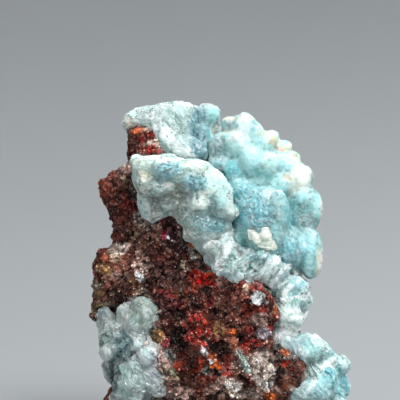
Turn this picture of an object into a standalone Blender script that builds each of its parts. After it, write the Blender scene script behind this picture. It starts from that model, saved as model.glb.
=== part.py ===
"""A standing hemimorphite specimen: blue and white crusts grown on a lump of red-brown gossan.

Run it with blender --background --python part.py, or from Blender's text editor.

Each mass is a ball whose surface is drawn in until it meets a group of melted lumps, roughened by
summed noise and cut off flat at the foot. A crust is then cut back to the masses that it grew on.

Lengths in the lists are millimetres at the drawn height. X runs right, Y away from the viewer and Z up,
from the surface that the specimen stands on.
"""

import bmesh
import bpy
import numpy as np
from mathutils import Matrix, Vector

DRAWN_HEIGHT = 77.5
HEIGHT = 0.0775
MM = HEIGHT / DRAWN_HEIGHT

# Where the middle of the specimen's outline falls in the lists below.
MIDDLE = (0.0, 0.2, 0.0)

# The gap that a crust keeps to what it grew on, and the shortest edge left by its cuts.
SEAT_GAP = 0.3
SHORTEST_EDGE = 0.004

# How far out the rays start, how many steps they take, and how near the middle they may come.
MARCH_START = 75.0
MARCH_STEPS = 60
CORE = 1.0

# Neighbouring faces that turn by less than the flat angle become one, in degrees. Edges that turn by
# more than the sharp angle are shaded sharp.
FLAT_ANGLE = 9
SHARP_ANGLE = 30

CRYSTAL_SIDES = 6
CRYSTAL_TAPER = 0.62

# Noise layers: size, height and seed.
COARSE_WAVES = [(10.0, 1.6, 1), (5.0, 1.8, 2)]
FINE_WAVES = [(3.0, 0.35, 3)]
HASH_STRIDES = (73856093, 19349663, 83492791)
HASH_MIXERS = (2654435761, 2246822519)
HASH_SEED_STEP = 7919
CELLS_FROM_ZERO = 500.0

RUST = (0.22, 0.08, 0.055)
TURQUOISE = (0.33, 0.62, 0.66)
PALE_AQUA = (0.62, 0.75, 0.72)
CREAM = (0.85, 0.82, 0.68)

# Lumps are x, y, z and a radius, or three radii along X, Y and Z.
MATRIX_LUMPS = [
    (-4.4, 0.0, 23.9, 19.0, 13.5, 22.0),
    (-11.9, 0.0, 45.0, 10.5, 10.5, 17.0),
    (-21.4, 0.0, 57.8, 3.2, 5.2, 5.2),
    (-22.9, 0.0, 55.6, 1.8, 3.6, 2.4),
    (-18.8, 0.0, 50.0, 4.8, 6.5, 6.5),
    (-15.5, 3.0, 67.2, 4.2, 5.5, 6.6),
    (-17.6, 1.0, 69.2, 2.6, 4.0, 3.0),
    (-13.9, 1.0, 60.0, 6.6, 8.0, 10.0),
    (-23.8, -1.0, 39.6, 3.6, 5.5, 5.5),
    (-26.2, -1.0, 33.4, 2.0, 3.2, 4.4),
    (-25.4, -2.0, 42.2, 2.2, 3.0, 2.6),
    (5.0, -2.5, 32.1, 8.6, 10.6, 10.6),
    (11.1, -1.0, 18.0, 9.5, 11.0, 12.0),
    (-15.5, 0.0, 4.8, 12.0, 13.0, 14.0),
    (14.5, 0.0, 4.8, 13.0, 13.0, 13.0),
    (-1.0, 0.0, 4.0, 14.0, 13.5, 12.0),
    (3.5, 7.0, 46.6, 12.5, 8.5, 24.0),
    (-5.0, 8.5, 60.0, 8.0, 6.0, 9.0),
]
MATRIX_HOLLOWS = [
    (-8.8, -15.0, 24.5, 3.0),
    (1.0, -15.5, 23.5, 3.2),
    (4.8, -14.0, 16.0, 2.8),
    (12.5, -13.0, 17.6, 2.6),
    (-11.5, -12.0, 51.5, 2.8),
    (-6.0, 15.5, 36.0, 3.6),
    (8.0, 15.5, 22.0, 3.2),
]
DOME_LUMPS = [
    (4.4, 2.0, 71.0, 4.0),
    (5.9, 0.3, 71.4, 3.1),
    (0.2, 0.0, 68.0, 3.3),
    (2.8, -2.0, 68.0, 3.0),
    (6.4, -4.2, 64.9, 3.0),
    (8.6, 0.0, 67.6, 3.7),
    (10.2, 2.0, 67.8, 3.0),
    (13.2, 2.0, 65.4, 2.9),
    (10.8, -3.8, 63.8, 3.0),
    (14.9, -1.5, 63.0, 2.7),
    (17.6, -2.5, 60.9, 2.6),
    (3.8, -5.0, 58.6, 3.4),
    (8.7, -7.2, 53.2, 6.6),
    (13.2, -4.0, 59.2, 3.4),
    (16.7, -4.0, 55.7, 3.0),
    (20.3, -2.0, 53.8, 2.0, 3.0, 4.4),
    (17.6, -3.0, 51.3, 3.6),
    (19.7, -6.5, 44.7, 2.7, 3.3, 5.8),
    (4.0, -8.0, 48.3, 1.9, 2.6, 4.2),
    (9.4, -7.5, 47.3, 4.9),
    (14.2, -6.0, 46.3, 4.6),
    (13.8, -5.0, 43.0, 3.6),
    (10.6, 3.5, 55.4, 9.2, 8.5, 12.4),
]
LOBE_LUMPS = [
    (-15.1, -8.0, 62.0, 4.4),
    (-10.4, -9.5, 62.1, 4.8),
    (-5.3, -9.5, 60.6, 5.2),
    (-1.0, -10.0, 57.7, 4.2),
    (2.0, -10.5, 54.3, 2.0),
    (-15.5, -8.5, 56.7, 2.6, 2.6, 4.6),
    (-10.4, -8.5, 57.1, 3.8),
    (-5.3, -8.5, 55.0, 5.0),
    (-3.3, -8.5, 49.8, 4.4),
    (0.1, -8.0, 48.5, 3.6),
    (-2.7, -7.5, 46.7, 2.6),
]
TOP_LUMPS = [
    (-9.5, 1.0, 73.2, 3.9),
    (-7.3, 4.0, 75.4, 2.2),
    (-13.2, 0.5, 73.9, 2.8),
    (-16.2, 0.0, 73.7, 2.0),
    (-19.1, 0.0, 73.5, 1.9),
    (-10.9, -1.5, 69.1, 3.0),
    (-7.5, -1.5, 66.9, 3.0),
    (-3.3, 3.5, 67.0, 4.4),
    (-3.7, 7.0, 71.4, 4.4),
    (-1.9, 5.5, 74.5, 2.2),
]
THROAT_LUMPS = [
    (-1.6, -8.5, 44.2, 2.6),
    (1.2, -9.5, 43.5, 3.4),
    (4.6, -9.5, 42.6, 3.6),
    (8.0, -9.0, 42.1, 3.8),
    (11.5, -8.5, 40.8, 3.4),
    (14.2, -8.0, 36.8, 3.6),
    (16.6, -6.0, 34.0, 3.0),
    (14.6, -9.4, 31.4, 3.4),
    (17.0, -3.0, 36.1, 3.2),
    (-2.6, -9.0, 47.2, 2.4),
]
RIGHT_FOOT_LUMPS = [
    (14.0, -9.6, 26.6, 2.4),
    (17.4, -7.5, 24.6, 3.2),
    (20.5, -5.0, 23.1, 3.6),
    (24.1, -3.5, 19.4, 3.4),
    (26.4, -2.5, 18.8, 1.9),
    (21.6, -7.0, 17.0, 4.4),
    (18.4, -9.5, 15.4, 3.4),
    (26.0, -3.0, 14.4, 2.6),
    (23.6, -5.0, 9.7, 4.8),
    (20.8, -6.6, 5.0, 5.4),
]
LEFT_FOOT_LUMPS = [
    (-25.1, -4.0, 30.6, 2.6),
    (-24.0, -5.0, 27.6, 2.9),
    (-19.9, -9.0, 32.5, 2.6),
    (-16.2, -11.0, 32.2, 3.4),
    (-21.2, -9.0, 25.6, 4.6),
    (-16.6, -11.5, 27.2, 2.8),
    (-17.4, -11.0, 22.6, 3.8),
    (-13.2, -12.6, 24.0, 2.8),
    (-23.2, -5.5, 19.3, 2.8),
    (-18.6, -10.5, 17.6, 4.8),
    (-13.6, -12.0, 17.8, 3.2),
    (-19.2, -9.8, 11.4, 5.2),
    (-21.0, -7.6, 5.2, 5.4),
]

# Crystals are the foot's x, y, z, the way that they point, and their length, width and thickness.
MATRIX_LEDGES = [
    ((-15.2, 1.8, 62.4), (0.10, -0.1, 1.0), 1.7, 12.6, 15.4),
    ((-15.4, 1.8, 65.0), (0.05, -0.1, 1.0), 1.4, 11.4, 14.0),
    ((-15.3, 2.0, 67.6), (0.12, -0.1, 1.0), 1.6, 11.0, 13.4),
    ((-16.6, 0.6, 69.8), (0.06, -0.1, 1.0), 1.4, 8.0, 9.0),
]
LOBE_CRYSTALS = [
    ((1.4, -11.0, 53.2), (0.8, -0.6, 0.2), 2.2, 2.8, 2.0),
    ((-3.6, -12.6, 64.0), (0.3, -0.8, 0.5), 1.8, 3.4, 2.0),
    ((-4.6, -12.6, 54.6), (-0.3, -0.9, 0.3), 1.8, 3.4, 2.4),
]
TOP_CRYSTALS = [
    ((-19.4, -0.6, 73.2), (-0.8, -0.4, 0.2), 1.8, 2.2, 1.6),
    ((-17.0, -1.2, 74.0), (-0.2, -0.7, 0.6), 1.6, 2.6, 1.8),
    ((-14.0, -1.0, 75.2), (0.2, -0.6, 0.7), 1.8, 2.8, 1.8),
]
THROAT_CRYSTALS = [
    ((9.8, -11.0, 39.0), (0.45, 0.05, 0.9), 6.2, 2.0, 1.6),
    ((13.4, -10.0, 40.0), (0.6, -0.1, 0.8), 4.2, 1.8, 1.4),
    ((3.0, -12.0, 42.0), (-0.4, -0.8, 0.4), 2.0, 2.8, 1.8),
    ((18.0, -6.0, 31.0), (0.6, -0.2, 0.7), 1.6, 1.2, 1.0),
]
DOME_CRYSTALS = [
    ((17.2, -3.6, 60.4), (0.3, -0.8, 0.4), 2.4, 3.8, 3.0),
    ((17.8, -2.6, 61.4), (0.7, -0.5, 0.4), 1.8, 3.0, 2.4),
]
RIGHT_FOOT_CRYSTALS = [
    ((22.8, -5.8, 20.2), (0.2, -0.6, 0.8), 1.8, 3.6, 1.6),
    ((26.6, -2.8, 19.4), (0.4, -0.4, 0.8), 1.4, 2.4, 1.4),
    ((25.2, -5.8, 15.0), (0.6, -0.7, 0.2), 2.0, 3.2, 2.2),
]
LEFT_FOOT_CRYSTALS = [
    ((-20.4, -12.2, 29.4), (0.75, -0.1, -0.65), 5.4, 1.4, 1.2),
    ((-16.4, -13.2, 26.4), (0.55, -0.2, -0.75), 4.4, 1.8, 1.4),
    ((-14.6, -13.0, 28.6), (0.3, -0.8, 0.3), 2.0, 3.0, 2.2),
    ((-13.0, -13.8, 25.4), (0.4, -0.8, -0.1), 2.0, 2.8, 2.0),
    ((-17.6, -13.4, 22.6), (0.1, -0.9, 0.2), 2.0, 3.6, 2.6),
    ((-24.6, -5.6, 29.0), (-0.5, -0.6, 0.5), 2.0, 2.4, 1.8),
    ((-12.8, -13.6, 19.2), (0.4, -0.8, 0.4), 2.2, 2.8, 1.8),
]
PERCHED_CRYSTALS = [
    ((8.7, -12.9, 46.6), (0.28, -0.22, 0.93), 4.7, 3.6, 2.4),
    ((8.7, -12.9, 47.0), (-0.78, -0.25, 0.58), 4.1, 2.4, 2.2),
]


def signed_distance(points, lumps, blend):
    """How far each point lies outside the lumps, melted together over the blend length."""
    total = np.full(len(points), -np.inf)
    for x, y, z, *radii in lumps:
        radii = np.array(radii * (3 // len(radii)))
        offset = points - (x, y, z)
        scaled = np.linalg.norm(offset / radii, axis=1)
        slope = np.linalg.norm(offset / radii**2, axis=1) + 1e-9
        total = np.logaddexp(total, -scaled * (scaled - 1) / slope / blend)
    return -blend * total


def lattice(cell, seed):
    """A repeatable random number from 0 to 1 for each whole-number cell."""
    n = (cell.astype(np.uint32) * np.array(HASH_STRIDES, np.uint32)).sum(axis=1, dtype=np.uint32)
    n = (n ^ np.uint32(seed * HASH_SEED_STEP)) * np.uint32(HASH_MIXERS[0])
    n = (n ^ (n >> np.uint32(15))) * np.uint32(HASH_MIXERS[1])
    return (n ^ (n >> np.uint32(13))) / 2.0**32


def value_noise(points, size, seed):
    """Smooth random heights from -1 to 1 that change over about size millimetres."""
    places = points / size + CELLS_FROM_ZERO
    cell = np.floor(places)
    t = places - cell
    t = t * t * (3 - 2 * t)
    total = np.zeros(len(points))
    for corner in np.ndindex(2, 2, 2):
        share = np.prod(np.where(corner, t, 1 - t), axis=1)
        total += share * lattice(cell + corner, seed)
    return 2 * total - 1


def ball_of_squares(squares):
    """A cube primitive cut into squares along each edge and rounded to a unit ball."""
    bm = bmesh.new()
    bmesh.ops.create_cube(bm, size=2.0)
    bmesh.ops.subdivide_edges(bm, edges=bm.edges[:], cuts=squares - 1, use_grid_fill=True)
    for vertex in bm.verts:
        vertex.co = [np.tan(c * np.pi / 4) for c in vertex.co]
        vertex.co.normalize()
    return bm


def draw_in(rays, centre, lumps, hollows, blend):
    """Walks in along each ray until it meets the lumps, with the hollows scooped out of them."""
    reach = np.full(len(rays), MARCH_START)
    for _ in range(MARCH_STEPS):
        points = centre + rays * reach[:, None]
        step = signed_distance(points, lumps, blend)
        if hollows:
            step = np.maximum(step, -signed_distance(points, hollows, blend))
        reach = np.maximum(reach - step, CORE)
    return centre + rays * reach[:, None]


def put_back(bm, points):
    for vertex, point in zip(bm.verts, points):
        vertex.co = point
    bm.normal_update()


def cut_flat(bm):
    """Cuts the mass off at the surface that it stands on, with one flat face."""
    everything = bm.verts[:] + bm.edges[:] + bm.faces[:]
    cut = bmesh.ops.bisect_plane(bm, geom=everything, plane_co=(0, 0, 0), plane_no=(0, 0, -1), clear_outer=True)
    rim = [item for item in cut["geom_cut"] if isinstance(item, bmesh.types.BMEdge)]
    if rim:
        bmesh.ops.contextual_create(bm, geom=rim)


def drop_crumbs(bm):
    """Deletes every loose body but the one with the most corners."""
    left = set(bm.verts)
    bodies = []
    while left:
        front = [left.pop()]
        body = set(front)
        while front:
            for edge in front.pop().link_edges:
                fresh = left.intersection(edge.verts)
                left -= fresh
                body |= fresh
                front += fresh
        bodies.append(body)
    bodies.sort(key=len)
    for body in bodies[:-1]:
        bmesh.ops.delete(bm, geom=list(body), context="VERTS")


def finish(name, colour, rough):
    material = bpy.data.materials.new(name)
    material.use_nodes = True
    shader = material.node_tree.nodes["Principled BSDF"]
    shader.inputs["Base Color"].default_value = (*colour, 1.0)
    shader.inputs["Roughness"].default_value = rough
    return material


def as_object(bm, name, collection):
    """Turns a bmesh in millimetres into an object, over the middle of the specimen."""
    bmesh.ops.transform(bm, matrix=Matrix.Scale(MM, 4) @ Matrix.Translation(-Vector(MIDDLE)), verts=bm.verts)
    mesh = bpy.data.meshes.new(name)
    bm.to_mesh(mesh)
    bm.free()
    made = bpy.data.objects.new(name, mesh)
    bpy.data.collections[collection].objects.link(made)
    return made


def grow(name, lumps, centre, squares, blend, waves, lean=(0, 0, 0), stretch=(1, 1, 1), hollows=()):
    """Makes one mass of melted lumps. Its rays leave centre, and crowd along stretch and towards lean.
    Waves are the size, height and seed of each layer of noise."""
    bm = ball_of_squares(squares)
    rays = np.array([vertex.co for vertex in bm.verts]) * stretch + lean
    rays /= np.linalg.norm(rays, axis=1)[:, None]
    points = draw_in(rays, np.array(centre), lumps, hollows, blend)
    put_back(bm, points)
    normals = np.array([vertex.normal for vertex in bm.verts])
    lift = sum(height * value_noise(points, size, seed) for size, height, seed in waves)
    put_back(bm, points + normals * lift[:, None])
    bmesh.ops.triangulate(bm, faces=bm.faces[:])
    bmesh.ops.dissolve_limit(bm, angle_limit=np.radians(FLAT_ANGLE), verts=bm.verts[:], edges=bm.edges[:])
    bmesh.ops.triangulate(bm, faces=bm.faces[:])
    cut_flat(bm)
    bmesh.ops.recalc_face_normals(bm, faces=bm.faces[:])
    return as_object(bm, name, "Hemimorphite specimen")


def crystals(name, places, collection):
    """Tapering six-sided prisms with flat ends, each set on its foot and turned the way that it points."""
    bm = bmesh.new()
    for foot, way, length, width, thickness in places:
        made = bmesh.ops.create_cone(
            bm, cap_ends=True, segments=CRYSTAL_SIDES, radius1=0.5, radius2=0.5 * CRYSTAL_TAPER, depth=1.0
        )
        turn = Vector(way).to_track_quat("Z", "Y").to_matrix().to_4x4()
        size = Matrix.Diagonal((width, thickness, length, 1.0))
        place = Matrix.Translation(foot) @ turn @ size @ Matrix.Translation((0, 0, 0.5))
        bmesh.ops.transform(bm, matrix=place, verts=made["verts"])
    bmesh.ops.triangulate(bm, faces=bm.faces[:])
    return as_object(bm, name, collection)


def boolean(target, cutter, operation):
    change = target.modifiers.new(f"{operation.title()} {cutter.name}", "BOOLEAN")
    change.operation = operation
    change.object = cutter
    change.use_self = True


def hide_cutter(cutter):
    cutter.hide_render = True
    cutter.display_type = "WIRE"


def settle(mass):
    """Applies the mass's modifiers and keeps its largest body, with no sliver edges."""
    bpy.context.view_layer.update()
    evaluated = mass.evaluated_get(bpy.context.evaluated_depsgraph_get())
    mesh = bpy.data.meshes.new_from_object(evaluated)
    bm = bmesh.new()
    bm.from_mesh(mesh)
    bmesh.ops.remove_doubles(bm, verts=bm.verts[:], dist=SHORTEST_EDGE * MM)
    bmesh.ops.triangulate(bm, faces=bm.faces[:])
    drop_crumbs(bm)
    bm.to_mesh(mesh)
    bm.free()
    mass.modifiers.clear()
    mass.data = mesh
    bpy.context.view_layer.update()


def set_crystals(mass, places):
    """Joins flat-faced crystals to the mass that they grow from."""
    cutter = crystals(f"crystals_of_{mass.name}", places, "Cutters")
    hide_cutter(cutter)
    boolean(mass, cutter, "UNION")
    settle(mass)


def seat_on(crust, *hosts):
    """Cuts the crust back to its hosts, each swollen by the seat gap along its normals."""
    for host in hosts:
        cutter = bpy.data.objects.new(f"{host.name}_under_{crust.name}", host.data.copy())
        bpy.data.collections["Cutters"].objects.link(cutter)
        hide_cutter(cutter)
        swell = cutter.modifiers.new("Seat gap", "DISPLACE")
        swell.mid_level = 0.0
        swell.strength = SEAT_GAP * MM
        boolean(crust, cutter, "DIFFERENCE")
    settle(crust)


def dress(mass, colour, rough):
    """Gives the mass its own material, and smooth shading with its crystal edges kept sharp."""
    mass.data.materials.clear()
    mass.data.materials.append(finish(mass.name, colour, rough))
    mass.data.shade_smooth()
    mass.data.set_sharp_from_angle(angle=np.radians(SHARP_ANGLE))


def main():
    for old in list(bpy.data.objects):
        bpy.data.objects.remove(old)
    for name in ("Hemimorphite specimen", "Cutters"):
        bpy.context.scene.collection.children.link(bpy.data.collections.new(name))

    upward = (1, 1, 1.7)
    matrix = grow("matrix", MATRIX_LUMPS, (-4.0, 0.0, 33.0), 15, 1.2, COARSE_WAVES, stretch=upward,
                  hollows=MATRIX_HOLLOWS)
    set_crystals(matrix, MATRIX_LEDGES)
    lobe = grow("front_lobe", LOBE_LUMPS, (-6.0, -8.0, 56.5), 8, 0.6, FINE_WAVES, lean=(0, -0.3, 0))
    set_crystals(lobe, LOBE_CRYSTALS)
    seat_on(lobe, matrix)
    throat = grow("throat_crystals", THROAT_LUMPS, (9.5, -5.5, 38.0), 9, 0.5, FINE_WAVES, lean=(0, -0.3, 0))
    set_crystals(throat, THROAT_CRYSTALS)
    seat_on(throat, matrix, lobe)
    dome = grow("right_dome", DOME_LUMPS, (10.5, -1.0, 56.0), 12, 0.7, FINE_WAVES, lean=(0, -0.2, 0))
    set_crystals(dome, DOME_CRYSTALS)
    seat_on(dome, matrix, lobe, throat)
    top = grow("top_crust", TOP_LUMPS, (-8.0, 3.0, 69.5), 8, 0.5, FINE_WAVES)
    set_crystals(top, TOP_CRYSTALS)
    seat_on(top, matrix, lobe, dome)
    right = grow("right_foot_crust", RIGHT_FOOT_LUMPS, (21.5, -4.0, 14.0), 8, 0.5, FINE_WAVES)
    set_crystals(right, RIGHT_FOOT_CRYSTALS)
    seat_on(right, matrix, throat)
    left = grow("left_foot_crust", LEFT_FOOT_LUMPS, (-20.5, -6.5, 20.0), 10, 0.5, FINE_WAVES)
    set_crystals(left, LEFT_FOOT_CRYSTALS)
    seat_on(left, matrix)
    perched = crystals("perched_crystal", PERCHED_CRYSTALS[:1], "Hemimorphite specimen")
    set_crystals(perched, PERCHED_CRYSTALS[1:])
    seat_on(perched, dome)

    dress(matrix, RUST, 0.8)
    dress(dome, TURQUOISE, 0.35)
    for crust in (lobe, throat, top, right, left):
        dress(crust, PALE_AQUA, 0.4)
    dress(perched, CREAM, 0.4)


main()
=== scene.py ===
"""Looks of a standing hemimorphite specimen: blue and white crusts grown on a lump of red-brown gossan.

Each mass is a ball of rays drawn in until it meets a group of melted lumps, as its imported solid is. Smaller
knobs and pits that the front shows are set on it, and it is raised by finer waves, bubbles and flat crystal
faces. Colour lies on its corners in named patches, and the materials add the grain that is smaller than those
corners.

Lengths in the lists of lumps are millimetres. X runs right, Y away from the viewer and Z up, from the surface
that the specimen stands on. Details of the front are listed by the column and row at which the front view
shows them, in its 400 by 400 pixels, and their sizes are in those pixels too.
"""

import bpy
import numpy as np
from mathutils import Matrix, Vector


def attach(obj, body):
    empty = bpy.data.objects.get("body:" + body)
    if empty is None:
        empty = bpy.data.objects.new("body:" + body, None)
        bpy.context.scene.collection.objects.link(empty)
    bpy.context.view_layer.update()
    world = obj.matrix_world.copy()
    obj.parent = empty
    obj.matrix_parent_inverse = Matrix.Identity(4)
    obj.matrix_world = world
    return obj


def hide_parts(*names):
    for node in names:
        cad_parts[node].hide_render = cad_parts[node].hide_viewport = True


bl_info = {
    "name": "Hemimorphite specimen",
    "version": (1, 0, 0),
    "blender": (4, 5, 0),
    "location": "3D View > Sidebar > Specimen",
    "description": "Grows the crusts, the matrix and the loose grains of a standing mineral specimen",
    "category": "Add Mesh",
}

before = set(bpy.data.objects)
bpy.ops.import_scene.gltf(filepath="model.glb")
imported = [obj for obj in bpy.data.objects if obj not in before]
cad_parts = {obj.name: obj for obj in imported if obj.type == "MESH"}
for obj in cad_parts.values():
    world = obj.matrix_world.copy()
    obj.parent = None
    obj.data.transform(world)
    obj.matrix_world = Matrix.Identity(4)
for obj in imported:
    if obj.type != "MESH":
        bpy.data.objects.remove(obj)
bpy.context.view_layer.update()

BODY = "root"
MM = 0.001

# Where the middle of the specimen's outline falls in the lists below.
MIDDLE = (0.0, 0.2, 0.0)

# The front view: what it looks at, from how far, how steeply down, its middle, how many pixels it has each
# way and their size there.
VIEW_TARGET = np.array((-4.4, 0.0, 56.1))
VIEW_DISTANCE = 293.0
VIEW_DOWN = np.radians(4.0)
VIEW_CENTRE = 200.0
VIEW_PIXELS = 400
PIXEL = 0.22

AHEAD = np.array((0.0, np.cos(VIEW_DOWN), -np.sin(VIEW_DOWN)))
RIGHT = np.array((1.0, 0.0, 0.0))
UP = np.cross(RIGHT, AHEAD)
EYE = VIEW_TARGET - AHEAD * VIEW_DISTANCE

# How far out the rays start, how many steps they take, how near their roots they may come and the gap at
# which a ray has met the surface. Then how far before what the view looks at a line of sight starts.
MARCH_START = 75.0
MARCH_STEPS = 60
CORE = 1.0
MET = 0.0005
SIGHT_START = 45.0

# Numbers that mix a cell's whole numbers into a random one, and how many cells places are moved by, so that
# none of those whole numbers is negative.
HASH_STRIDES = (73856093, 19349663, 83492791)
HASH_MIXERS = (2654435761, 2246822519)
HASH_SEED_STEP = 7919
CELLS_FROM_ZERO = 500.0

# The camera's sensor in millimetres, how near and how far it sees, the lamps' places, what they look at and
# their sizes, in metres, and the light of the room round them.
SENSOR_WIDTH = 36.0
CLIPPING = (0.01, 20.0)
LAMPS = (
    ("key", (0.20, -0.26, 0.44), (0.0, 0.0, 0.045), 0.26),
    ("fill", (-0.40, -0.45, 0.16), (0.0, 0.0, 0.04), 0.45),
    ("top", (0.02, 0.10, 0.50), (0.0, 0.0, 0.05), 0.30),
)
ROOM_COLOUR = (0.88, 0.90, 0.91)
ROOM_STRENGTH = 0.42

# The backdrop in metres: how far out it is flat, the radius of its bend, the height of its wall, the steps of
# its bend and its points round each ring.
BACKDROP_FLAT = 0.14
BACKDROP_BEND = 0.95
BACKDROP_WALL = 0.5
BEND_STEPS = 24
RING_POINTS = 96

# Small numbers that keep sums and lengths from being zero, and a distance in cells that is past every seed.
NOTHING = 1e-300
TINY = 1e-9
TINIEST = 1e-12
FAR = 9.0

# How steeply the creases between bubbles fade, for each cell of distance.
CREASE_STEEPNESS = 3

# What the materials read from the corners.
TINT = "tint"
GRAIN = "grain"

# Lumps are x, y, z and a radius, or three radii along X, Y and Z.
MATRIX_LUMPS = [
    (-4.4, 0.0, 23.9, 19.0, 13.5, 22.0), (-11.9, 0.0, 45.0, 10.5, 10.5, 17.0),
    (-21.4, 0.0, 57.8, 3.2, 5.2, 5.2), (-22.9, 0.0, 55.6, 1.8, 3.6, 2.4), (-18.8, 0.0, 50.0, 4.8, 6.5, 6.5),
    (-15.5, 3.0, 67.2, 4.2, 5.5, 6.6), (-17.6, 1.0, 69.2, 2.6, 4.0, 3.0),
    (-13.9, 1.0, 60.0, 6.6, 8.0, 10.0), (-23.8, -1.0, 39.6, 3.6, 5.5, 5.5),
    (-26.2, -1.0, 33.4, 2.0, 3.2, 4.4), (-25.4, -2.0, 42.2, 2.2, 3.0, 2.6),
    (5.0, -2.5, 32.1, 8.6, 10.6, 10.6), (11.1, -1.0, 18.0, 9.5, 11.0, 12.0),
    (-15.5, 0.0, 4.8, 12.0, 13.0, 14.0), (14.5, 0.0, 4.8, 13.0, 13.0, 13.0),
    (-1.0, 0.0, 4.0, 14.0, 13.5, 12.0), (3.5, 7.0, 46.6, 12.5, 8.5, 24.0), (-5.0, 8.5, 60.0, 8.0, 6.0, 9.0),
]
MATRIX_HOLLOWS = [
    (-8.8, -15.0, 24.5, 3.0), (1.0, -15.5, 23.5, 3.2), (4.8, -14.0, 16.0, 2.8), (12.5, -13.0, 17.6, 2.6),
    (-11.5, -12.0, 51.5, 2.8), (-6.0, 15.5, 36.0, 3.6), (8.0, 15.5, 22.0, 3.2),
]
DOME_LUMPS = [
    (4.4, 2.0, 71.0, 4.0), (5.9, 0.3, 71.4, 3.1), (0.2, 0.0, 68.0, 3.3), (2.8, -2.0, 68.0, 3.0),
    (6.4, -4.2, 64.9, 3.0), (8.6, 0.0, 67.6, 3.7), (10.2, 2.0, 67.8, 3.0), (13.2, 2.0, 65.4, 2.9),
    (10.8, -3.8, 63.8, 3.0), (14.9, -1.5, 63.0, 2.7), (17.6, -2.5, 60.9, 2.6), (3.8, -5.0, 58.6, 3.4),
    (8.7, -7.2, 53.2, 6.6), (13.2, -4.0, 59.2, 3.4), (16.7, -4.0, 55.7, 3.0),
    (20.3, -2.0, 53.8, 2.0, 3.0, 4.4), (17.6, -3.0, 51.3, 3.6), (19.7, -6.5, 44.7, 2.7, 3.3, 5.8),
    (4.0, -8.0, 48.3, 1.9, 2.6, 4.2), (9.4, -7.5, 47.3, 4.9), (14.2, -6.0, 46.3, 4.6),
    (13.8, -5.0, 43.0, 3.6), (10.6, 3.5, 55.4, 9.2, 8.5, 12.4),
]
LOBE_LUMPS = [
    (-15.1, -8.0, 62.0, 4.4), (-10.4, -9.5, 62.1, 4.8), (-5.3, -9.5, 60.6, 5.2), (-1.0, -10.0, 57.7, 4.2),
    (2.0, -10.5, 54.3, 2.0), (-15.5, -8.5, 56.7, 2.6, 2.6, 4.6), (-10.4, -8.5, 57.1, 3.8),
    (-5.3, -8.5, 55.0, 5.0), (-3.3, -8.5, 49.8, 4.4), (0.1, -8.0, 48.5, 3.6), (-2.7, -7.5, 46.7, 2.6),
]
TOP_LUMPS = [
    (-9.5, 1.0, 73.2, 3.9), (-7.3, 4.0, 75.4, 2.2), (-13.2, 0.5, 73.9, 2.8), (-16.2, 0.0, 73.7, 2.0),
    (-19.1, 0.0, 73.5, 1.9), (-10.9, -1.5, 69.1, 3.0), (-7.5, -1.5, 66.9, 3.0), (-3.3, 3.5, 67.0, 4.4),
    (-3.7, 7.0, 71.4, 4.4), (-1.9, 5.5, 74.5, 2.2),
]
THROAT_LUMPS = [
    (-1.6, -8.5, 44.2, 2.6), (1.2, -9.5, 43.5, 3.4), (4.6, -9.5, 42.6, 3.6), (8.0, -9.0, 42.1, 3.8),
    (11.5, -8.5, 40.8, 3.4), (14.2, -8.0, 36.8, 3.6), (16.6, -6.0, 34.0, 3.0), (14.6, -9.4, 31.4, 3.4),
    (17.0, -3.0, 36.1, 3.2), (-2.6, -9.0, 47.2, 2.4),
]
RIGHT_FOOT_LUMPS = [
    (14.0, -9.6, 26.6, 2.4), (17.4, -7.5, 24.6, 3.2), (20.5, -5.0, 23.1, 3.6), (24.1, -3.5, 19.4, 3.4),
    (26.4, -2.5, 18.8, 1.9), (21.6, -7.0, 17.0, 4.4), (18.4, -9.5, 15.4, 3.4), (26.0, -3.0, 14.4, 2.6),
    (23.6, -5.0, 9.7, 4.8), (20.8, -6.6, 5.0, 5.4),
]
LEFT_FOOT_LUMPS = [
    (-25.1, -4.0, 30.6, 2.6), (-24.0, -5.0, 27.6, 2.9), (-19.9, -9.0, 32.5, 2.6), (-16.2, -11.0, 32.2, 3.4),
    (-21.2, -9.0, 25.6, 4.6), (-16.6, -11.5, 27.2, 2.8), (-17.4, -11.0, 22.6, 3.8),
    (-13.2, -12.6, 24.0, 2.8), (-23.2, -5.5, 19.3, 2.8), (-18.6, -10.5, 17.6, 4.8),
    (-13.6, -12.0, 17.8, 3.2), (-19.2, -9.8, 11.4, 5.2), (-21.0, -7.6, 5.2, 5.4),
]
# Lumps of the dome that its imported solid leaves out, where it meets the lobe and the top crust.
DOME_INFILL = [
    (3.0, -5.0, 62.7, 2.5, 2.4, 2.8), (-0.6, -3.0, 66.8, 2.4, 2.4, 3.2), (-0.8, -4.2, 64.2, 2.3),
    (1.6, -5.0, 60.6, 1.9), (11.5, 1.0, 64.4, 4.0), (15.0, 0.0, 60.8, 4.2), (17.6, -1.0, 57.4, 3.6),
]
CRUST_LUMPS = DOME_LUMPS + LOBE_LUMPS + TOP_LUMPS + THROAT_LUMPS + RIGHT_FOOT_LUMPS + LEFT_FOOT_LUMPS

# Lumps that widen the necks of the matrix's two left shelves.
MATRIX_INFILL = [
    (-19.0, 0.5, 39.0, 6.5, 7.5, 8.5), (-17.5, 0.0, 56.0, 5.5, 7.0, 8.0),
]

# Lumps that join the throat's crystals to the lobe and to the dome above them.
THROAT_INFILL = [
    (0.6, -9.0, 48.4, 2.6), (3.4, -9.5, 46.0, 2.4), (6.6, -10.4, 44.6, 2.4), (9.8, -10.2, 44.2, 2.4),
    (12.6, -9.0, 42.6, 2.4), (15.4, -5.0, 41.4, 2.4),
]

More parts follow.
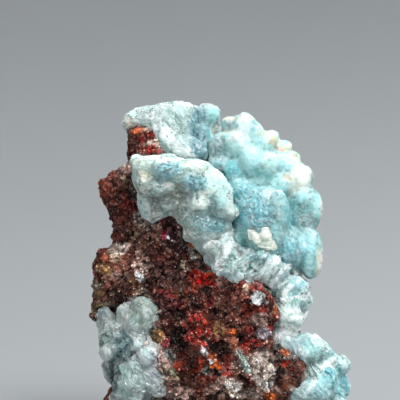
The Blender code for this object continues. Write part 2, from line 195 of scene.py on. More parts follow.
# Knobs on the front are a column and a row, half a width and half a height in pixels, and how far the middle
# stands out, in smaller radii. Pits and scoops are listed in the same way.
MATRIX_KNOBS = [
    (213, 272, 7, 6, 0.3), (226, 281, 8, 6, 0.3), (240, 287, 8, 6, 0.3), (254, 293, 8, 6, 0.3),
    (265, 301, 7, 7, 0.3), (269, 314, 6, 8, 0.4), (267, 328, 6, 8, 0.4), (264, 341, 8, 7, 0.4),
    (285, 352, 7, 6, 0.4), (294, 366, 6, 7, 0.4), (295, 382, 6, 8, 0.3), (143, 291, 10, 6, 0.9),
    (158, 299, 6, 7, 0.9), (163, 313, 6, 8, 0.8), (160, 326, 6, 6, 0.6), (127, 296, 8, 6, 0.6),
    (169, 345, 5, 9, 0.3), (167, 372, 6, 9, 0.3), (110, 193, 8, 13, -0.5), (99, 288, 6, 9, -0.3),
    (98, 312, 6, 10, -0.3), (109, 263, 8, 9, -0.5), (143, 270, 7, 8, -0.6), (196, 246, 7, 5, -0.3),
    (185, 267, 5, 5, -0.3), (181, 288, 3, 11, -0.2), (166, 296, 9, 5, -0.4), (200, 328, 10, 14, -0.6),
    (240, 290, 10, 9, -0.6), (262, 318, 9, 9, -0.6), (157, 336, 7, 6, -0.3), (159, 357, 8, 8, -0.4),
    (168, 378, 10, 9, -0.5), (204, 352, 4, 4, -0.1), (206, 372, 5, 5, -0.3), (241, 360, 8, 11, -0.4),
    (263, 370, 12, 19, -0.5), (232, 386, 9, 6, -0.4), (299, 370, 9, 12, -0.6), (151, 130, 11, 2, 0.2),
    (145, 142, 9, 4, -0.2), (160, 143, 8, 5, -0.3), (150, 151, 12, 3, 0.0), (135, 128, 7, 4, -0.3),
]
MATRIX_PITS = [
    (170, 229, 6, 15, 0.1), (178, 339, 7, 12, 0.2), (221, 350, 6, 8, 0.2), (241, 338, 4, 4, 0.2),
    (208, 292, 4, 7, 0.3), (216, 374, 8, 2, 0.2), (209, 256, 6, 3, 0.1), (196, 307, 8, 3, 0.3),
    (120, 301, 6, 6, 0.3), (163, 267, 3, 4, 0.2), (145, 263, 4, 4, 0.2), (147, 285, 5, 5, 0.4),
    (241, 381, 6, 4, 0.2), (277, 354, 3, 4, 0.1), (281, 375, 4, 6, 0.2), (293, 384, 4, 6, 0.3),
    (218, 313, 8, 5, 0.5), (167, 366, 3, 2, 0.0), (174, 314, 12, 5, 0.5), (268, 322, 3, 4, 0.2),
    (151, 136, 12, 1, 0.3), (131, 146, 3, 6, 0.6),
]
DOME_KNOBS = [
    (244, 126, 9, 12, -0.65), (229, 123, 8, 6, -0.6), (232, 138, 8, 5, -0.5), (256, 131, 6, 7, -0.6),
    (263, 144, 9, 6, -0.6), (271, 136, 7, 5, -0.5), (284, 146, 8, 5, -0.5), (294, 157, 6, 5, -0.5),
    (251, 159, 11, 11, -0.65), (237, 146, 10, 8, -0.6), (269, 164, 12, 10, -0.7), (289, 165, 10, 9, -0.65),
    (300, 178, 11, 12, -0.75), (262, 181, 17, 7, -0.6), (281, 185, 10, 8, -0.6), (279, 209, 9, 18, -0.65),
    (303, 197, 9, 8, -0.6), (313, 206, 9, 15, -0.6), (296, 217, 9, 9, -1.2), (288, 250, 12, 15, -0.75),
    (273, 236, 9, 12, -0.75), (297, 277, 4, 5, -0.3),
]
DOME_SCOOPS = [
    (222, 176, 4, 5, 0.2), (291, 229, 4, 12, 0.55), (289, 214, 3, 10, 0.55), (258, 189, 10, 1, 0.2),
]
LOBE_KNOBS = [
    (141, 168, 8, 8, -0.6), (144, 186, 7, 10, -0.6), (166, 168, 13, 9, -0.7), (192, 167, 12, 6, -0.6),
    (160, 188, 9, 8, -0.6), (193, 183, 12, 9, -0.7), (215, 186, 11, 15, -0.65), (222, 205, 8, 9, -0.6),
    (230, 206, 4, 9, -0.4), (200, 204, 9, 7, -0.5), (179, 202, 5, 15, -0.5), (153, 210, 6, 13, -0.5),
    (200, 224, 12, 10, -0.65), (219, 224, 11, 8, -0.6), (190, 236, 7, 6, -0.5), (136, 161, 5, 4, -0.3),
]
LOBE_SCOOPS = [
    (170, 224, 9, 14, 0.1), (187, 196, 2, 14, 0.4), (148, 198, 6, 2, 0.4),
]
TOP_KNOBS = [
    (128, 124, 5, 5, -0.3), (138, 117, 8, 4, -0.4), (150, 114, 8, 4, -0.4), (164, 111, 9, 6, -0.6),
    (178, 111, 12, 8, -0.6), (169, 124, 8, 8, -0.7), (166, 134, 8, 6, -0.7), (184, 125, 7, 12, -0.7),
    (184, 150, 9, 6, -0.5), (176, 143, 6, 5, -0.6), (211, 115, 9, 8, -0.5), (200, 120, 7, 9, -0.9),
    (203, 139, 7, 12, -0.9), (158, 129, 6, 4, -0.3), (166, 142, 7, 6, -0.4), (175, 151, 8, 5, -0.4),
    (187, 155, 9, 5, 0.0), (199, 153, 7, 7, 0.0),
]
THROAT_KNOBS = [
    (212, 245, 9, 6, -0.5), (223, 240, 7, 7, -0.6), (231, 247, 6, 8, -0.5), (222, 254, 8, 6, -0.6),
    (226, 266, 9, 7, -0.6), (245, 265, 12, 8, -0.7), (262, 261, 8, 9, -0.6), (262, 275, 8, 6, -0.6),
    (281, 270, 6, 6, -0.5), (276, 283, 9, 6, -0.6), (295, 285, 9, 8, -0.6), (303, 297, 7, 9, -0.6),
    (292, 299, 8, 8, -0.7), (291, 317, 11, 11, -0.4), (285, 333, 9, 5, -0.5), (214, 267, 4, 3, -0.2),
    (221, 273, 3, 2.5, -0.1), (233, 277, 5, 3, -0.3), (244, 281, 4, 3, 0.0), (256, 287, 4, 4, -0.2),
    (267, 294, 4, 4, -0.2), (272, 306, 4, 5, -0.2), (273, 321, 4, 4, -0.2),
]
RIGHT_FOOT_KNOBS = [
    (298, 343, 9, 8, -0.6), (311, 351, 9, 9, -0.6), (315, 340, 5, 3, -0.4), (326, 358, 10, 6, -0.5),
    (342, 366, 6, 6, -0.4), (329, 373, 9, 7, -0.6), (341, 384, 7, 11, -0.6), (312, 372, 8, 9, -0.7),
    (320, 389, 9, 9, -0.6), (303, 391, 8, 7, -0.6),
]
LEFT_FOOT_KNOBS = [
    (144, 311, 12, 12, -0.8), (151, 318, 7, 10, -0.8), (134, 318, 6, 8, -0.7), (112, 373, 6, 15, -0.7),
    (103, 301, 4, 3, -0.3), (106, 312, 5, 6, -0.5), (113, 325, 8, 7, -0.5), (127, 325, 4, 6, -0.4),
    (122, 345, 11, 12, -0.6), (140, 332, 6, 5, -0.9), (103, 337, 5, 8, -0.4), (107, 352, 5, 7, -0.5),
    (121, 369, 5, 5, -0.5), (134, 380, 14, 20, -0.6), (149, 352, 7, 7, -0.5), (152, 378, 6, 12, -0.6),
]
HEART_KNOBS = [
    (253, 235, 5, 5, -0.2), (257, 239, 6, 5, -0.2), (262, 243, 7, 6, -0.2), (266, 234, 6, 7, -0.2),
    (268, 242, 7, 7, -0.2), (271, 247, 5, 4, -0.2),
]

# Blades run from one place of the front view to another. A width, a thickness, how far the tip stands out for
# each pixel of length, and a colour follow.
THROAT_BLADES = [
    (304, 319, 308, 311, 3.0, 1.6, 0.3, "white"),
]
LEFT_FOOT_BLADES = [
    (146, 344, 155, 361, 7.0, 2.5, 0.05, "rose_white"), (134, 357, 144, 366, 7.0, 3.0, 0.1, "ice_white"),
]

# Ridges run in the same way. A width and a colour follow.
THROAT_RIDGES = [
    (224, 226, 204, 244, 4.0, "white"), (226, 229, 211, 245, 3.5, "ice_white"),
    (229, 233, 220, 246, 3.0, "ice_white"), (222, 236, 208, 247, 3.0, "ice_grey"),
    (233, 240, 227, 255, 5.0, "white"), (276, 260, 264, 284, 4.5, "white"),
    (281, 258, 268, 276, 3.0, "ice_white"), (292, 260, 270, 285, 3.5, "white"),
    (288, 268, 276, 279, 3.0, "ice_white"), (290, 266, 299, 279, 3.0, "white"),
    (289, 286, 285, 299, 5.0, "white"), (244, 272, 238, 281, 4.0, "ice_white"),
    (222, 268, 219, 276, 4.0, "white"), (253, 270, 249, 280, 4.0, "ice_white"),
    (272, 266, 262, 272, 3.0, "ice_white"), (284, 305, 309, 292, 3.0, "white"),
    (284, 311, 311, 305, 3.0, "ice_white"), (283, 318, 307, 318, 3.0, "white"),
    (284, 325, 302, 330, 3.0, "white"), (274, 337, 295, 333, 4.0, "white"),
    (287, 330, 271, 343, 4.0, "white"), (236, 243, 218, 262, 4.0, "white"),
    (229, 258, 216, 268, 3.0, "white"), (268, 262, 256, 280, 3.5, "white"),
]
LEFT_FOOT_RIDGES = [
    (139, 352, 149, 361, 2.0, "white"), (149, 343, 156, 354, 2.0, "white"),
    (126, 332, 140, 346, 1.6, "white"), (141, 342, 134, 347, 3.0, "ice_white"),
    (107, 320, 117, 329, 4.0, "ice_grey"), (128, 316, 126, 330, 4.0, "rose_white"),
    (118, 366, 125, 375, 5.0, "grey_green"), (129, 342, 122, 351, 5.0, "dark_teal"),
]
RIGHT_FOOT_RIDGES = [
    (336, 361, 322, 367, 3.5, "white"), (341, 360, 348, 369, 4.5, "ice_white"),
    (312, 338, 319, 341, 3.0, "white"), (334, 377, 328, 385, 3.0, "pale_aqua"),
    (309, 353, 304, 360, 3.0, "ice_white"), (318, 345, 330, 352, 3.0, "ice_white"),
    (300, 350, 312, 372, 4.0, "ice_white"), (328, 377, 342, 396, 2.5, "aqua"),
    (314, 380, 306, 396, 4.0, "ice_white"),
]
MATRIX_RIDGES = [
    (208, 357, 213, 362, 3.0, "white"), (202, 349, 207, 356, 4.0, "lilac_white"),
    (240, 352, 247, 372, 6.0, "grey_green"), (262, 293, 253, 299, 5.0, "ice_white"),
    (258, 296, 266, 304, 5.0, "white"), (161, 353, 168, 363, 6.0, "rose_grey"),
    (164, 370, 157, 363, 6.0, "rose_grey"), (272, 376, 264, 390, 7.0, "rose_white"),
    (138, 272, 142, 280, 4.0, "white"), (228, 384, 238, 389, 6.0, "rose_white"),
]

# Patches are a column and a row, half the width and height, a colour and how strongly it covers.
# Black brown, brown black and purple black patches that lie on the carved pits darken them as painted shade.
MATRIX_PATCHES = [
    (143, 124, 12, 2, "rose_grey", 0.8), (140, 131, 12, 1.5, "rose_grey", 0.7),
    (143, 137, 14, 1.5, "maroon", 0.6), (152, 143, 10, 3, "rose_white", 0.7),
    (141, 148, 12, 1.5, "maroon", 0.6), (160, 150, 8, 4, "rose_white", 0.8), (108, 189, 9, 15, "rust", 0.8),
    (106, 176, 7, 3, "red", 0.7), (110, 184, 3, 3, "grey_red", 0.6), (125, 167, 9, 5, "rose_grey", 0.75),
    (124, 177, 3, 2, "beige", 0.7), (117, 190, 6, 12, "maroon", 0.5),
    (132, 187, 7, 16, "black_brown", 0.85), (121, 197, 7, 7, "maroon", 0.7),
    (129, 208, 11, 7, "dark_red", 0.9), (112, 212, 9, 6, "brown_black", 0.75),
    (112, 225, 5, 7, "purple_black", 0.6), (118, 233, 5, 8, "maroon", 0.7),
    (150, 237, 27, 17, "grey_brown", 0.7), (142, 226, 4, 2, "beige", 0.7), (135, 235, 3, 2, "beige", 0.5),
    (157, 238, 2, 2, "beige", 0.7), (123, 245, 9, 3, "rose_grey", 0.85),
    (118, 250, 4, 2, "black_brown", 0.8), (103, 256, 5, 4, "orange_brown", 0.6),
    (105, 268, 8, 7, "tan", 0.9), (116, 256, 6, 6, "beige", 0.85), (127, 262, 10, 8, "grey_red", 0.6),
    (96, 288, 7, 11, "olive", 0.85), (95, 285, 3, 3, "ice_grey", 0.4), (109, 285, 10, 9, "rust_red", 0.7),
    (126, 286, 13, 9, "rust_red", 0.6), (120, 301, 9, 8, "brown_black", 0.8),
    (95, 312, 7, 11, "olive", 0.95), (141, 268, 7, 9, "rose_grey", 0.7), (140, 277, 3, 4, "white", 0.8),
    (132, 281, 2, 5, "tan", 0.7), (140, 289, 5, 5, "beige", 0.5), (134, 304, 7, 5, "rust_red", 0.8),
    (148, 285, 6, 6, "black_brown", 0.7), (160, 273, 14, 14, "purple_grey", 0.7),
    (145, 263, 4, 4, "black_brown", 0.8), (164, 267, 3, 4, "black_brown", 0.8),
    (176, 262, 12, 12, "brown_black", 0.5), (176, 280, 10, 9, "purple_grey", 0.5),
    (185, 267, 5, 5, "beige", 0.8), (181, 288, 3, 11, "grey_brown", 0.7), (166, 296, 9, 5, "crimson", 0.8),
    (156, 299, 4, 3, "red", 0.8), (157, 308, 3, 5, "tan", 0.7), (172, 304, 13, 6, "purple", 0.8),
    (172, 315, 14, 6, "purple_black", 0.9), (164, 325, 10, 8, "maroon", 0.8),
    (170, 230, 8, 17, "purple_black", 0.95), (168, 212, 7, 4, "crimson", 0.9),
    (163, 222, 2, 6, "crimson", 0.8), (166, 234, 3, 6, "magenta", 0.7),
    (177, 218, 2, 6, "orange_brown", 0.8), (180, 227, 4, 5, "rose_grey", 0.6),
    (174, 240, 3, 1.5, "lilac_white", 0.7), (168, 237, 2, 2, "lilac_white", 0.8),
    (180, 247, 10, 9, "purple_black", 0.7), (158, 247, 8, 5, "maroon", 0.6),
    (187, 239, 5, 6, "brown_black", 0.8), (196, 245, 7, 4, "orange", 0.95),
    (202, 247, 2, 3, "orange_red", 0.9), (199, 254, 5, 4, "tan", 0.8), (195, 252, 2, 2, "black_brown", 0.8),
    (209, 256, 7, 3, "black_brown", 0.9), (200, 263, 10, 6, "maroon", 0.8),
    (202, 268, 4, 3, "black_brown", 0.7), (209, 264, 4, 4, "pink_red", 0.7), (195, 275, 6, 7, "red", 0.8),
    (204, 279, 9, 8, "bright_red", 0.95), (212, 276, 4, 6, "orange_red", 0.85),
    (196, 286, 3, 5, "orange_red", 0.7), (208, 284, 8, 3, "bright_red", 0.7),
    (188, 284, 5, 6, "brown_black", 0.6), (208, 293, 4, 8, "purple_black", 0.9),
    (211, 304, 3, 6, "crimson", 0.9), (195, 297, 8, 6, "maroon", 0.7), (196, 307, 9, 4, "black_brown", 0.8),
    (226, 280, 8, 4, "rust_red", 0.8), (229, 277, 3, 2, "orange", 0.7), (240, 284, 7, 5, "red", 0.7),
    (243, 281, 3, 4, "pink_red", 0.8), (222, 291, 8, 7, "maroon", 0.6),
    (232, 288, 3, 3, "black_brown", 0.7), (238, 297, 9, 7, "grey_red", 0.6), (246, 289, 3, 4, "beige", 0.7),
    (258, 286, 8, 5, "pink_red", 0.6), (259, 297, 8, 6, "ice_white", 0.85),
    (244, 308, 10, 8, "rust_red", 0.6), (233, 312, 9, 8, "grey_brown", 0.5),
    (218, 313, 9, 6, "black_brown", 0.8), (262, 309, 5, 4, "red", 0.6), (272, 300, 5, 6, "rust_red", 0.6),
    (278, 309, 3, 4, "orange", 0.9), (277, 318, 4, 6, "red", 0.6), (260, 320, 9, 8, "ice_grey", 0.7),
    (268, 322, 3, 3, "black_brown", 0.8), (271, 328, 4, 5, "red", 0.8), (248, 313, 4, 6, "red", 0.6),
    (264, 333, 9, 5, "lilac_white", 0.65), (198, 316, 9, 7, "pink_red", 0.7),
    (200, 329, 11, 15, "red", 0.75), (204, 321, 3, 4, "orange_red", 0.7), (220, 329, 6, 8, "tan", 0.7),
    (232, 333, 4, 4, "orange", 0.8), (232, 344, 5, 6, "orange_brown", 0.8),
    (222, 339, 5, 5, "grey_red", 0.6), (241, 338, 4, 4, "black_brown", 0.9),
    (240, 325, 8, 6, "grey_red", 0.6), (252, 331, 4, 4, "pink_red", 0.7),
    (178, 338, 8, 13, "black_brown", 0.95), (165, 343, 5, 10, "crimson", 0.9),
    (188, 337, 4, 5, "pink_red", 0.8), (197, 344, 9, 6, "red", 0.6), (221, 350, 8, 9, "black_brown", 0.92),
    (203, 352, 4, 4, "lilac_white", 0.8), (214, 355, 5, 3, "orange_brown", 0.7),
    (197, 369, 4, 10, "orange_red", 0.8), (187, 362, 5, 10, "maroon", 0.8),
    (179, 364, 4, 5, "orange_red", 0.6), (217, 366, 7, 5, "orange", 0.95),
    (216, 374, 9, 2, "black_brown", 0.9), (206, 372, 5, 5, "grey_green", 0.7),
    (228, 366, 6, 10, "pink_red", 0.6), (227, 374, 4, 3, "red", 0.8), (240, 358, 9, 8, "rose_grey", 0.85),
    (245, 364, 4, 8, "mint_grey", 0.85), (245, 374, 7, 4, "rose_grey", 0.7),
    (241, 381, 6, 5, "purple_black", 0.85), (253, 380, 5, 5, "pink_red", 0.7),
    (252, 347, 11, 8, "red", 0.7), (257, 343, 5, 4, "pink_red", 0.6),
    (264, 370, 13, 21, "rose_white", 0.75), (268, 386, 5, 6, "white", 0.6),
    (277, 354, 4, 4, "black_brown", 0.85), (281, 375, 4, 6, "black_brown", 0.85),
    (286, 354, 5, 5, "orange", 0.85), (283, 348, 5, 4, "grey_red", 0.6),
    (286, 367, 4, 5, "orange_red", 0.7), (286, 382, 4, 7, "orange", 0.9), (298, 373, 9, 16, "maroon", 0.7),
    (301, 367, 6, 7, "grey_red", 0.6), (293, 384, 4, 6, "black_brown", 0.8),
    (233, 385, 9, 6, "rose_white", 0.8), (225, 391, 6, 4, "beige", 0.7), (212, 378, 6, 5, "pink_red", 0.6),
    (204, 389, 8, 8, "rust_red", 0.7), (240, 396, 9, 3, "purple", 0.8), (250, 392, 8, 5, "rust_red", 0.6),
    (270, 396, 6, 5, "orange", 0.8), (157, 336, 8, 7, "tan", 0.85), (158, 348, 6, 4, "ice_grey", 0.7),
    (160, 358, 9, 8, "rose_grey", 0.85), (166, 366, 3, 2, "black_brown", 0.95),
    (168, 377, 12, 9, "olive_sage", 0.8), (165, 389, 7, 4, "rust_red", 0.6),
    (155, 385, 5, 7, "ice_white", 0.6), (178, 389, 6, 6, "grey_brown", 0.7),
    (190, 382, 6, 8, "grey_brown", 0.6), (165, 398, 12, 3, "maroon", 0.7), (131, 144, 6, 16, "maroon", 0.9),
    (136, 130, 6, 3, "orange_brown", 0.9), (149, 124, 5, 5, "pink_red", 0.8),
    (149, 130, 8, 2, "rose_grey", 0.8), (151, 136, 12, 1.5, "dark_red", 0.9), (141, 138, 8, 3, "red", 0.7),
    (161, 143, 9, 6, "rose_grey", 0.85), (150, 150, 12, 4, "red", 0.85), (140, 147, 4, 6, "rust_red", 0.6),
    (155, 154, 10, 1.5, "dark_red", 0.9), (238, 362, 8, 10, "rose_grey", 0.6),
    (230, 343, 6, 8, "grey_red", 0.6), (262, 320, 10, 8, "grey_red", 0.5),
    (270, 343, 8, 6, "grey_red", 0.7), (286, 374, 5, 8, "rose_grey", 0.5),
    (245, 395, 14, 6, "rose_white", 0.5), (214, 391, 10, 6, "rose_grey", 0.6),
    (182, 394, 14, 6, "rose_grey", 0.6), (168, 381, 8, 8, "grey_red", 0.6),
    (124, 266, 14, 8, "grey_red", 0.5), (140, 262, 8, 12, "rose_grey", 0.5),
    (118, 248, 10, 5, "rose_white", 0.5), (158, 300, 12, 8, "purple_black", 0.7),
    (178, 345, 9, 8, "black_brown", 0.8), (212, 372, 8, 5, "black_brown", 0.7),
    (135, 126, 8, 4, "rust", 0.8),
]
DOME_PATCHES = [
    (243, 240, 8, 14, "aqua", 0.6), (262, 154, 46, 34, "pale_aqua", 0.75),
    # The ice white on the dome's top knob, at column 244, is partly its pale crust and partly a painted
    # highlight.
    (244, 127, 8, 13, "ice_white", 0.95), (247, 117, 11, 3, "cream_white", 0.8),
    (230, 119, 8, 3, "cream_tan", 0.85), (228, 126, 7, 4, "aqua", 0.6),
    (230, 132, 8, 2, "cream_white", 0.7), (233, 138, 6, 3, "rose_white", 0.7),
    (256, 131, 4, 6, "ice_blue", 0.8), (262, 130, 5, 4, "cream_white", 0.5),
    # The teal grey and shaded teal on the dome's lower left flank, at columns 217 and 218, are partly its
    # teal crust and partly painted shade.
    (237, 146, 9, 7, "grey_white", 0.6), (217, 149, 9, 14, "teal_grey", 0.9),
    (218, 164, 7, 7, "teal_shadow", 0.8), (251, 157, 9, 9, "ice_blue", 0.7),
    (234, 171, 9, 12, "turquoise", 0.9), (238, 191, 7, 9, "turquoise", 0.9), (269, 163, 11, 8, "mint", 0.5),
    (290, 165, 9, 8, "ice_blue", 0.7), (270, 134, 8, 4, "cream_yellow", 0.85),
    (276, 140, 6, 4, "cream_yellow", 0.9), (287, 148, 9, 4, "cream_yellow", 0.8),
    (296, 157, 6, 4, "cream_yellow", 0.7), (271, 144, 4, 3, "tan", 0.8), (276, 148, 4, 3, "tan", 0.8),
    (281, 149, 3, 3, "salmon", 0.95), (294, 154, 3, 2, "tan", 0.7), (301, 177, 11, 13, "cream_white", 0.95),
    (287, 179, 4, 4, "tan", 0.8), (293, 191, 6, 5, "cream_tan", 0.5), (280, 189, 8, 4, "ice_blue", 0.7),
    (256, 182, 14, 5, "ice_blue", 0.4), (252, 211, 23, 21, "sparkle_blue", 0.9),
    (258, 189, 11, 1, "turquoise", 0.8), (270, 195, 6, 6, "ice_white", 0.4),
    (276, 207, 7, 9, "mint_grey", 0.4), (243, 224, 7, 12, "turquoise", 0.75),
    (242, 240, 7, 13, "teal_green", 0.95), (290, 217, 6, 14, "turquoise", 0.85),
    (303, 197, 8, 7, "ice_blue", 0.7), (313, 205, 7, 14, "pale_aqua", 0.8),
    (321, 210, 2.5, 18, "cream_white", 0.6), (306, 219, 8, 8, "teal_grey", 0.6),
    # The ice blue at the top of the right drop, at column 307, is partly its crust and partly a painted
    # highlight.
    (288, 252, 13, 16, "sparkle_blue", 0.7), (307, 240, 8, 11, "ice_blue", 0.9),
    (306, 268, 7, 12, "pale_aqua", 0.8), (304, 277, 6, 5, "aqua", 0.9),
    (319, 262, 3, 14, "cream_tan", 0.85), (322, 259, 2, 7, "rose_white", 0.7),
    (297, 277, 5, 5, "cream_yellow", 0.9), (260, 249, 12, 3, "teal_green", 0.6),
    # Deep green strokes paint the shade in the crevice between the dome and the lobe.
    (221, 171, 2.5, 4, "green_glass_and_crevice_shade", 0.95), (226, 186, 1.5, 6, "green_glass_and_crevice_shade", 0.9),
]
LOBE_PATCHES = [
    (141, 165, 10, 7, "sage", 0.85), (144, 175, 7, 5, "cream_tan", 0.85),
    (143, 187, 6, 8, "olive_sage", 0.8), (167, 168, 16, 10, "pale_aqua", 0.6),
    (167, 168, 14, 9, "aqua", 0.6), (155, 158, 12, 2, "cream_white", 0.6),
    (176, 157, 14, 2, "ice_white", 0.6), (191, 165, 11, 4, "cream_green", 0.9),
    (200, 170, 6, 3, "cream_green", 0.8), (194, 183, 13, 9, "aqua", 0.8),
    (196, 182, 8, 5, "sparkle_blue", 0.4), (165, 179, 10, 5, "teal_grey", 0.6),
    (217, 188, 12, 18, "mint", 0.9), (213, 176, 8, 5, "ice_white", 0.6),
    (204, 193, 8, 3, "cream_white", 0.8), (197, 207, 9, 4, "cream_green", 0.9),
    (203, 202, 5, 6, "cream_green", 0.9), (192, 209, 5, 3, "cream_green", 0.8),
    (206, 208, 4, 3, "cream_green", 0.8), (194, 199, 1.5, 5, "white", 0.8), (200, 204, 2, 4, "white", 0.6),
    (213, 203, 4, 8, "aqua", 0.5), (230, 205, 4, 8, "cream_green", 0.95),
    (226, 199, 4, 4, "cream_green", 0.8), (231, 213, 3, 4, "cream_green", 0.8),
    (168, 186, 7, 3, "rose_white", 0.8), (158, 191, 8, 7, "grey_green", 0.7),
    (154, 210, 8, 15, "grey_druse", 0.9), (147, 213, 2, 10, "ice_grey", 0.8),
    (168, 198, 8, 7, "grey_druse", 0.7), (179, 203, 6, 18, "olive_sage", 0.8),
    (187, 203, 5, 14, "lilac_grey", 0.5), (200, 225, 13, 11, "teal_grey", 0.6),
    (220, 223, 11, 8, "aqua", 0.6), (189, 231, 8, 8, "sage", 0.7), (188, 237, 5, 5, "olive_sage", 0.7),
    (223, 201, 6, 8, "pale_aqua", 0.7), (196, 184, 11, 7, "sparkle_blue", 0.5),
    (167, 168, 13, 8, "sparkle_blue", 0.5), (215, 222, 12, 9, "sparkle_blue", 0.4),
]
TOP_PATCHES = [
    (128, 124, 6, 7, "beige", 0.9), (138, 116, 9, 4, "grey_white", 0.6), (137, 121, 7, 2, "white", 0.6),
    (156, 115, 9, 6, "white", 0.7), (165, 108, 10, 4, "white", 0.7), (177, 110, 13, 8, "mint", 0.8),
    (170, 118, 8, 7, "mint_grey", 0.6), (158, 126, 5, 4, "white", 0.9), (165, 134, 7, 5, "white", 0.9),
    (173, 143, 7, 5, "white", 0.9), (183, 151, 10, 6, "white", 0.85), (176, 144, 5, 3, "ice_grey", 0.6),
    # The shaded teal and deep teal paint the shade of the hollow between the top crust and the dome.
    (187, 124, 7, 14, "mint_grey", 0.7), (200, 132, 10, 25, "teal_shadow", 0.95),
    (210, 138, 3, 9, "turquoise", 0.8), (198, 150, 7, 8, "hollow_shade_teal", 0.8),
    (213, 116, 8, 8, "pale_aqua", 0.9), (216, 130, 3, 8, "beige", 0.5), (186, 156, 9, 3, "white", 0.7),
]
THROAT_PATCHES = [
    (212, 244, 10, 5, "white", 0.8), (222, 249, 8, 6, "ice_grey", 0.9), (231, 247, 5, 8, "white", 0.7),
    (212, 251, 9, 4, "cream_green", 0.7), (226, 262, 10, 7, "grey_green", 0.8),
    (214, 258, 8, 5, "ice_grey", 0.8), (245, 266, 13, 9, "grey_green", 0.85), (262, 257, 9, 7, "aqua", 0.7),
    (272, 256, 5, 4, "pale_aqua", 0.7), (262, 272, 8, 6, "grey_white", 0.6), (282, 272, 5, 5, "aqua", 0.7),
    (272, 283, 8, 6, "grey_blue", 0.7), (296, 283, 8, 6, "ice_blue", 0.7), (303, 297, 7, 10, "aqua", 0.7),
    (294, 298, 8, 7, "pale_aqua", 0.8), (291, 317, 12, 12, "cream_green", 0.95),
    (284, 333, 10, 5, "rose_white", 0.85), (287, 328, 4, 2, "grey_brown", 0.5),
    (286, 293, 3, 5, "white", 0.9), (240, 252, 2, 2.5, "green_glass_and_crevice_shade", 0.95),
    (236, 262, 4, 6, "grey_green", 0.8), (252, 258, 5, 4, "aqua", 0.8),
]
RIGHT_FOOT_PATCHES = [
    (298, 343, 10, 8, "grey_blue", 0.85), (312, 350, 8, 8, "pale_aqua", 0.7),
    (292, 334, 6, 4, "white", 0.6), (315, 339, 5, 2, "white", 0.9), (325, 355, 10, 5, "aqua", 0.8),
    (329, 365, 8, 3, "white", 0.9), (343, 366, 6, 7, "pale_aqua", 0.8), (333, 374, 8, 6, "turquoise", 0.7),
    (340, 384, 9, 15, "turquoise", 0.9), (312, 370, 8, 10, "grey_green", 0.6),
    (320, 389, 9, 10, "ice_blue", 0.6), (331, 382, 3, 4, "ice_white", 0.8),
    (302, 392, 8, 7, "ice_grey", 0.6), (331, 375, 8, 7, "turquoise", 0.7),
]
LEFT_FOOT_PATCHES = [
    (143, 314, 16, 16, "sage", 0.95), (153, 318, 4, 10, "grey_druse", 0.6),
    (134, 304, 8, 5, "grey_druse", 0.6), (148, 312, 5, 5, "white", 0.5), (136, 320, 5, 6, "mint_grey", 0.5),
    (103, 301, 4, 4, "rose_grey", 0.8), (105, 312, 6, 7, "slate", 0.85), (113, 325, 8, 7, "ice_grey", 0.7),
    (112, 325, 3, 3, "ice_white", 0.5), (127, 325, 4, 7, "rose_white", 0.5), (120, 314, 7, 5, "sage", 0.5),
    (122, 346, 14, 16, "dark_teal", 0.95), (132, 352, 8, 8, "slate", 0.6),
    # The deep green just under the big rounded crystal, at column 140, is painted shade.
    (140, 331, 7, 5, "green_glass_and_crevice_shade", 0.8), (103, 337, 5, 9, "moss", 0.85), (107, 352, 5, 8, "ice_grey", 0.8),
    (107, 373, 3, 12, "grey_brown", 0.8), (114, 375, 4, 20, "green_glass_and_crevice_shade", 0.95),
    (121, 369, 4, 5, "grey_green", 0.6), (134, 381, 15, 22, "mint_grey", 0.85),
    (140, 385, 10, 15, "ice_grey", 0.5), (136, 352, 2, 1.5, "bright_red", 0.95),
    (148, 352, 7, 8, "ice_white", 0.8), (139, 361, 6, 4, "ice_white", 0.85),
    (114, 396, 4, 3, "maroon", 0.9), (154, 378, 5, 12, "lilac_grey", 0.7), (156, 339, 6, 8, "beige", 0.7),
    (159, 352, 7, 5, "rose_grey", 0.8), (114, 374, 6, 16, "green_glass_and_crevice_shade", 0.9),
]

# Patches of these colours are granular, and the other patches are smooth. Then how granular a crust is
# outside its patches.
GRANULAR = ("sparkle_blue", "grey_druse", "aqua", "teal_grey", "grey_green", "dark_teal", "olive_sage")
GRANULAR_ELSEWHERE = 0.25

# How far away from the viewer a normal points where the front starts and where it is full. How far out from
# its middle a patch sets in and covers, in its half sizes, and how its edge wanders: how far, in waves of
# what size, and what is added to the seed.
FRONT_EDGE = (0.5, 0.15)
PATCH_EDGE = (1.2, 0.8)
EDGE_WANDERS = ((0.5, 2.6, 0), (0.3, 0.9, 3))

# Where along a ridge its details lie, as shares of its length, their half sizes as shares of its width, and
# how far they stand out. A streak's strength, and where across it the streak sets in and covers.
RIDGE_STEPS = ((0.1, 0.5), (0.4, 0.48), (0.7, 0.42), (0.95, 0.34))
RIDGE_OUT = 0.1
STREAK_STRENGTH = 0.85
STREAK_EDGE = (0.75, 0.4)

# How the matrix is drawn in: the middle of its rays, the way they lean, the ellipsoid on which their roots
# lie, and how softly its lumps melt together, first for the whole and then for the details of its front.
MATRIX_CENTRE = (-4.0, 0.0, 33.0)
MATRIX_LEAN = (0, -0.35, 0)
MATRIX_CORE = (12, 3, 18)
MATRIX_BLEND = 0.8
MATRIX_DETAIL_BLEND = 0.6

# The way that the rays of the crusts on the front lean.
FORWARD = (0, -0.3, 0)

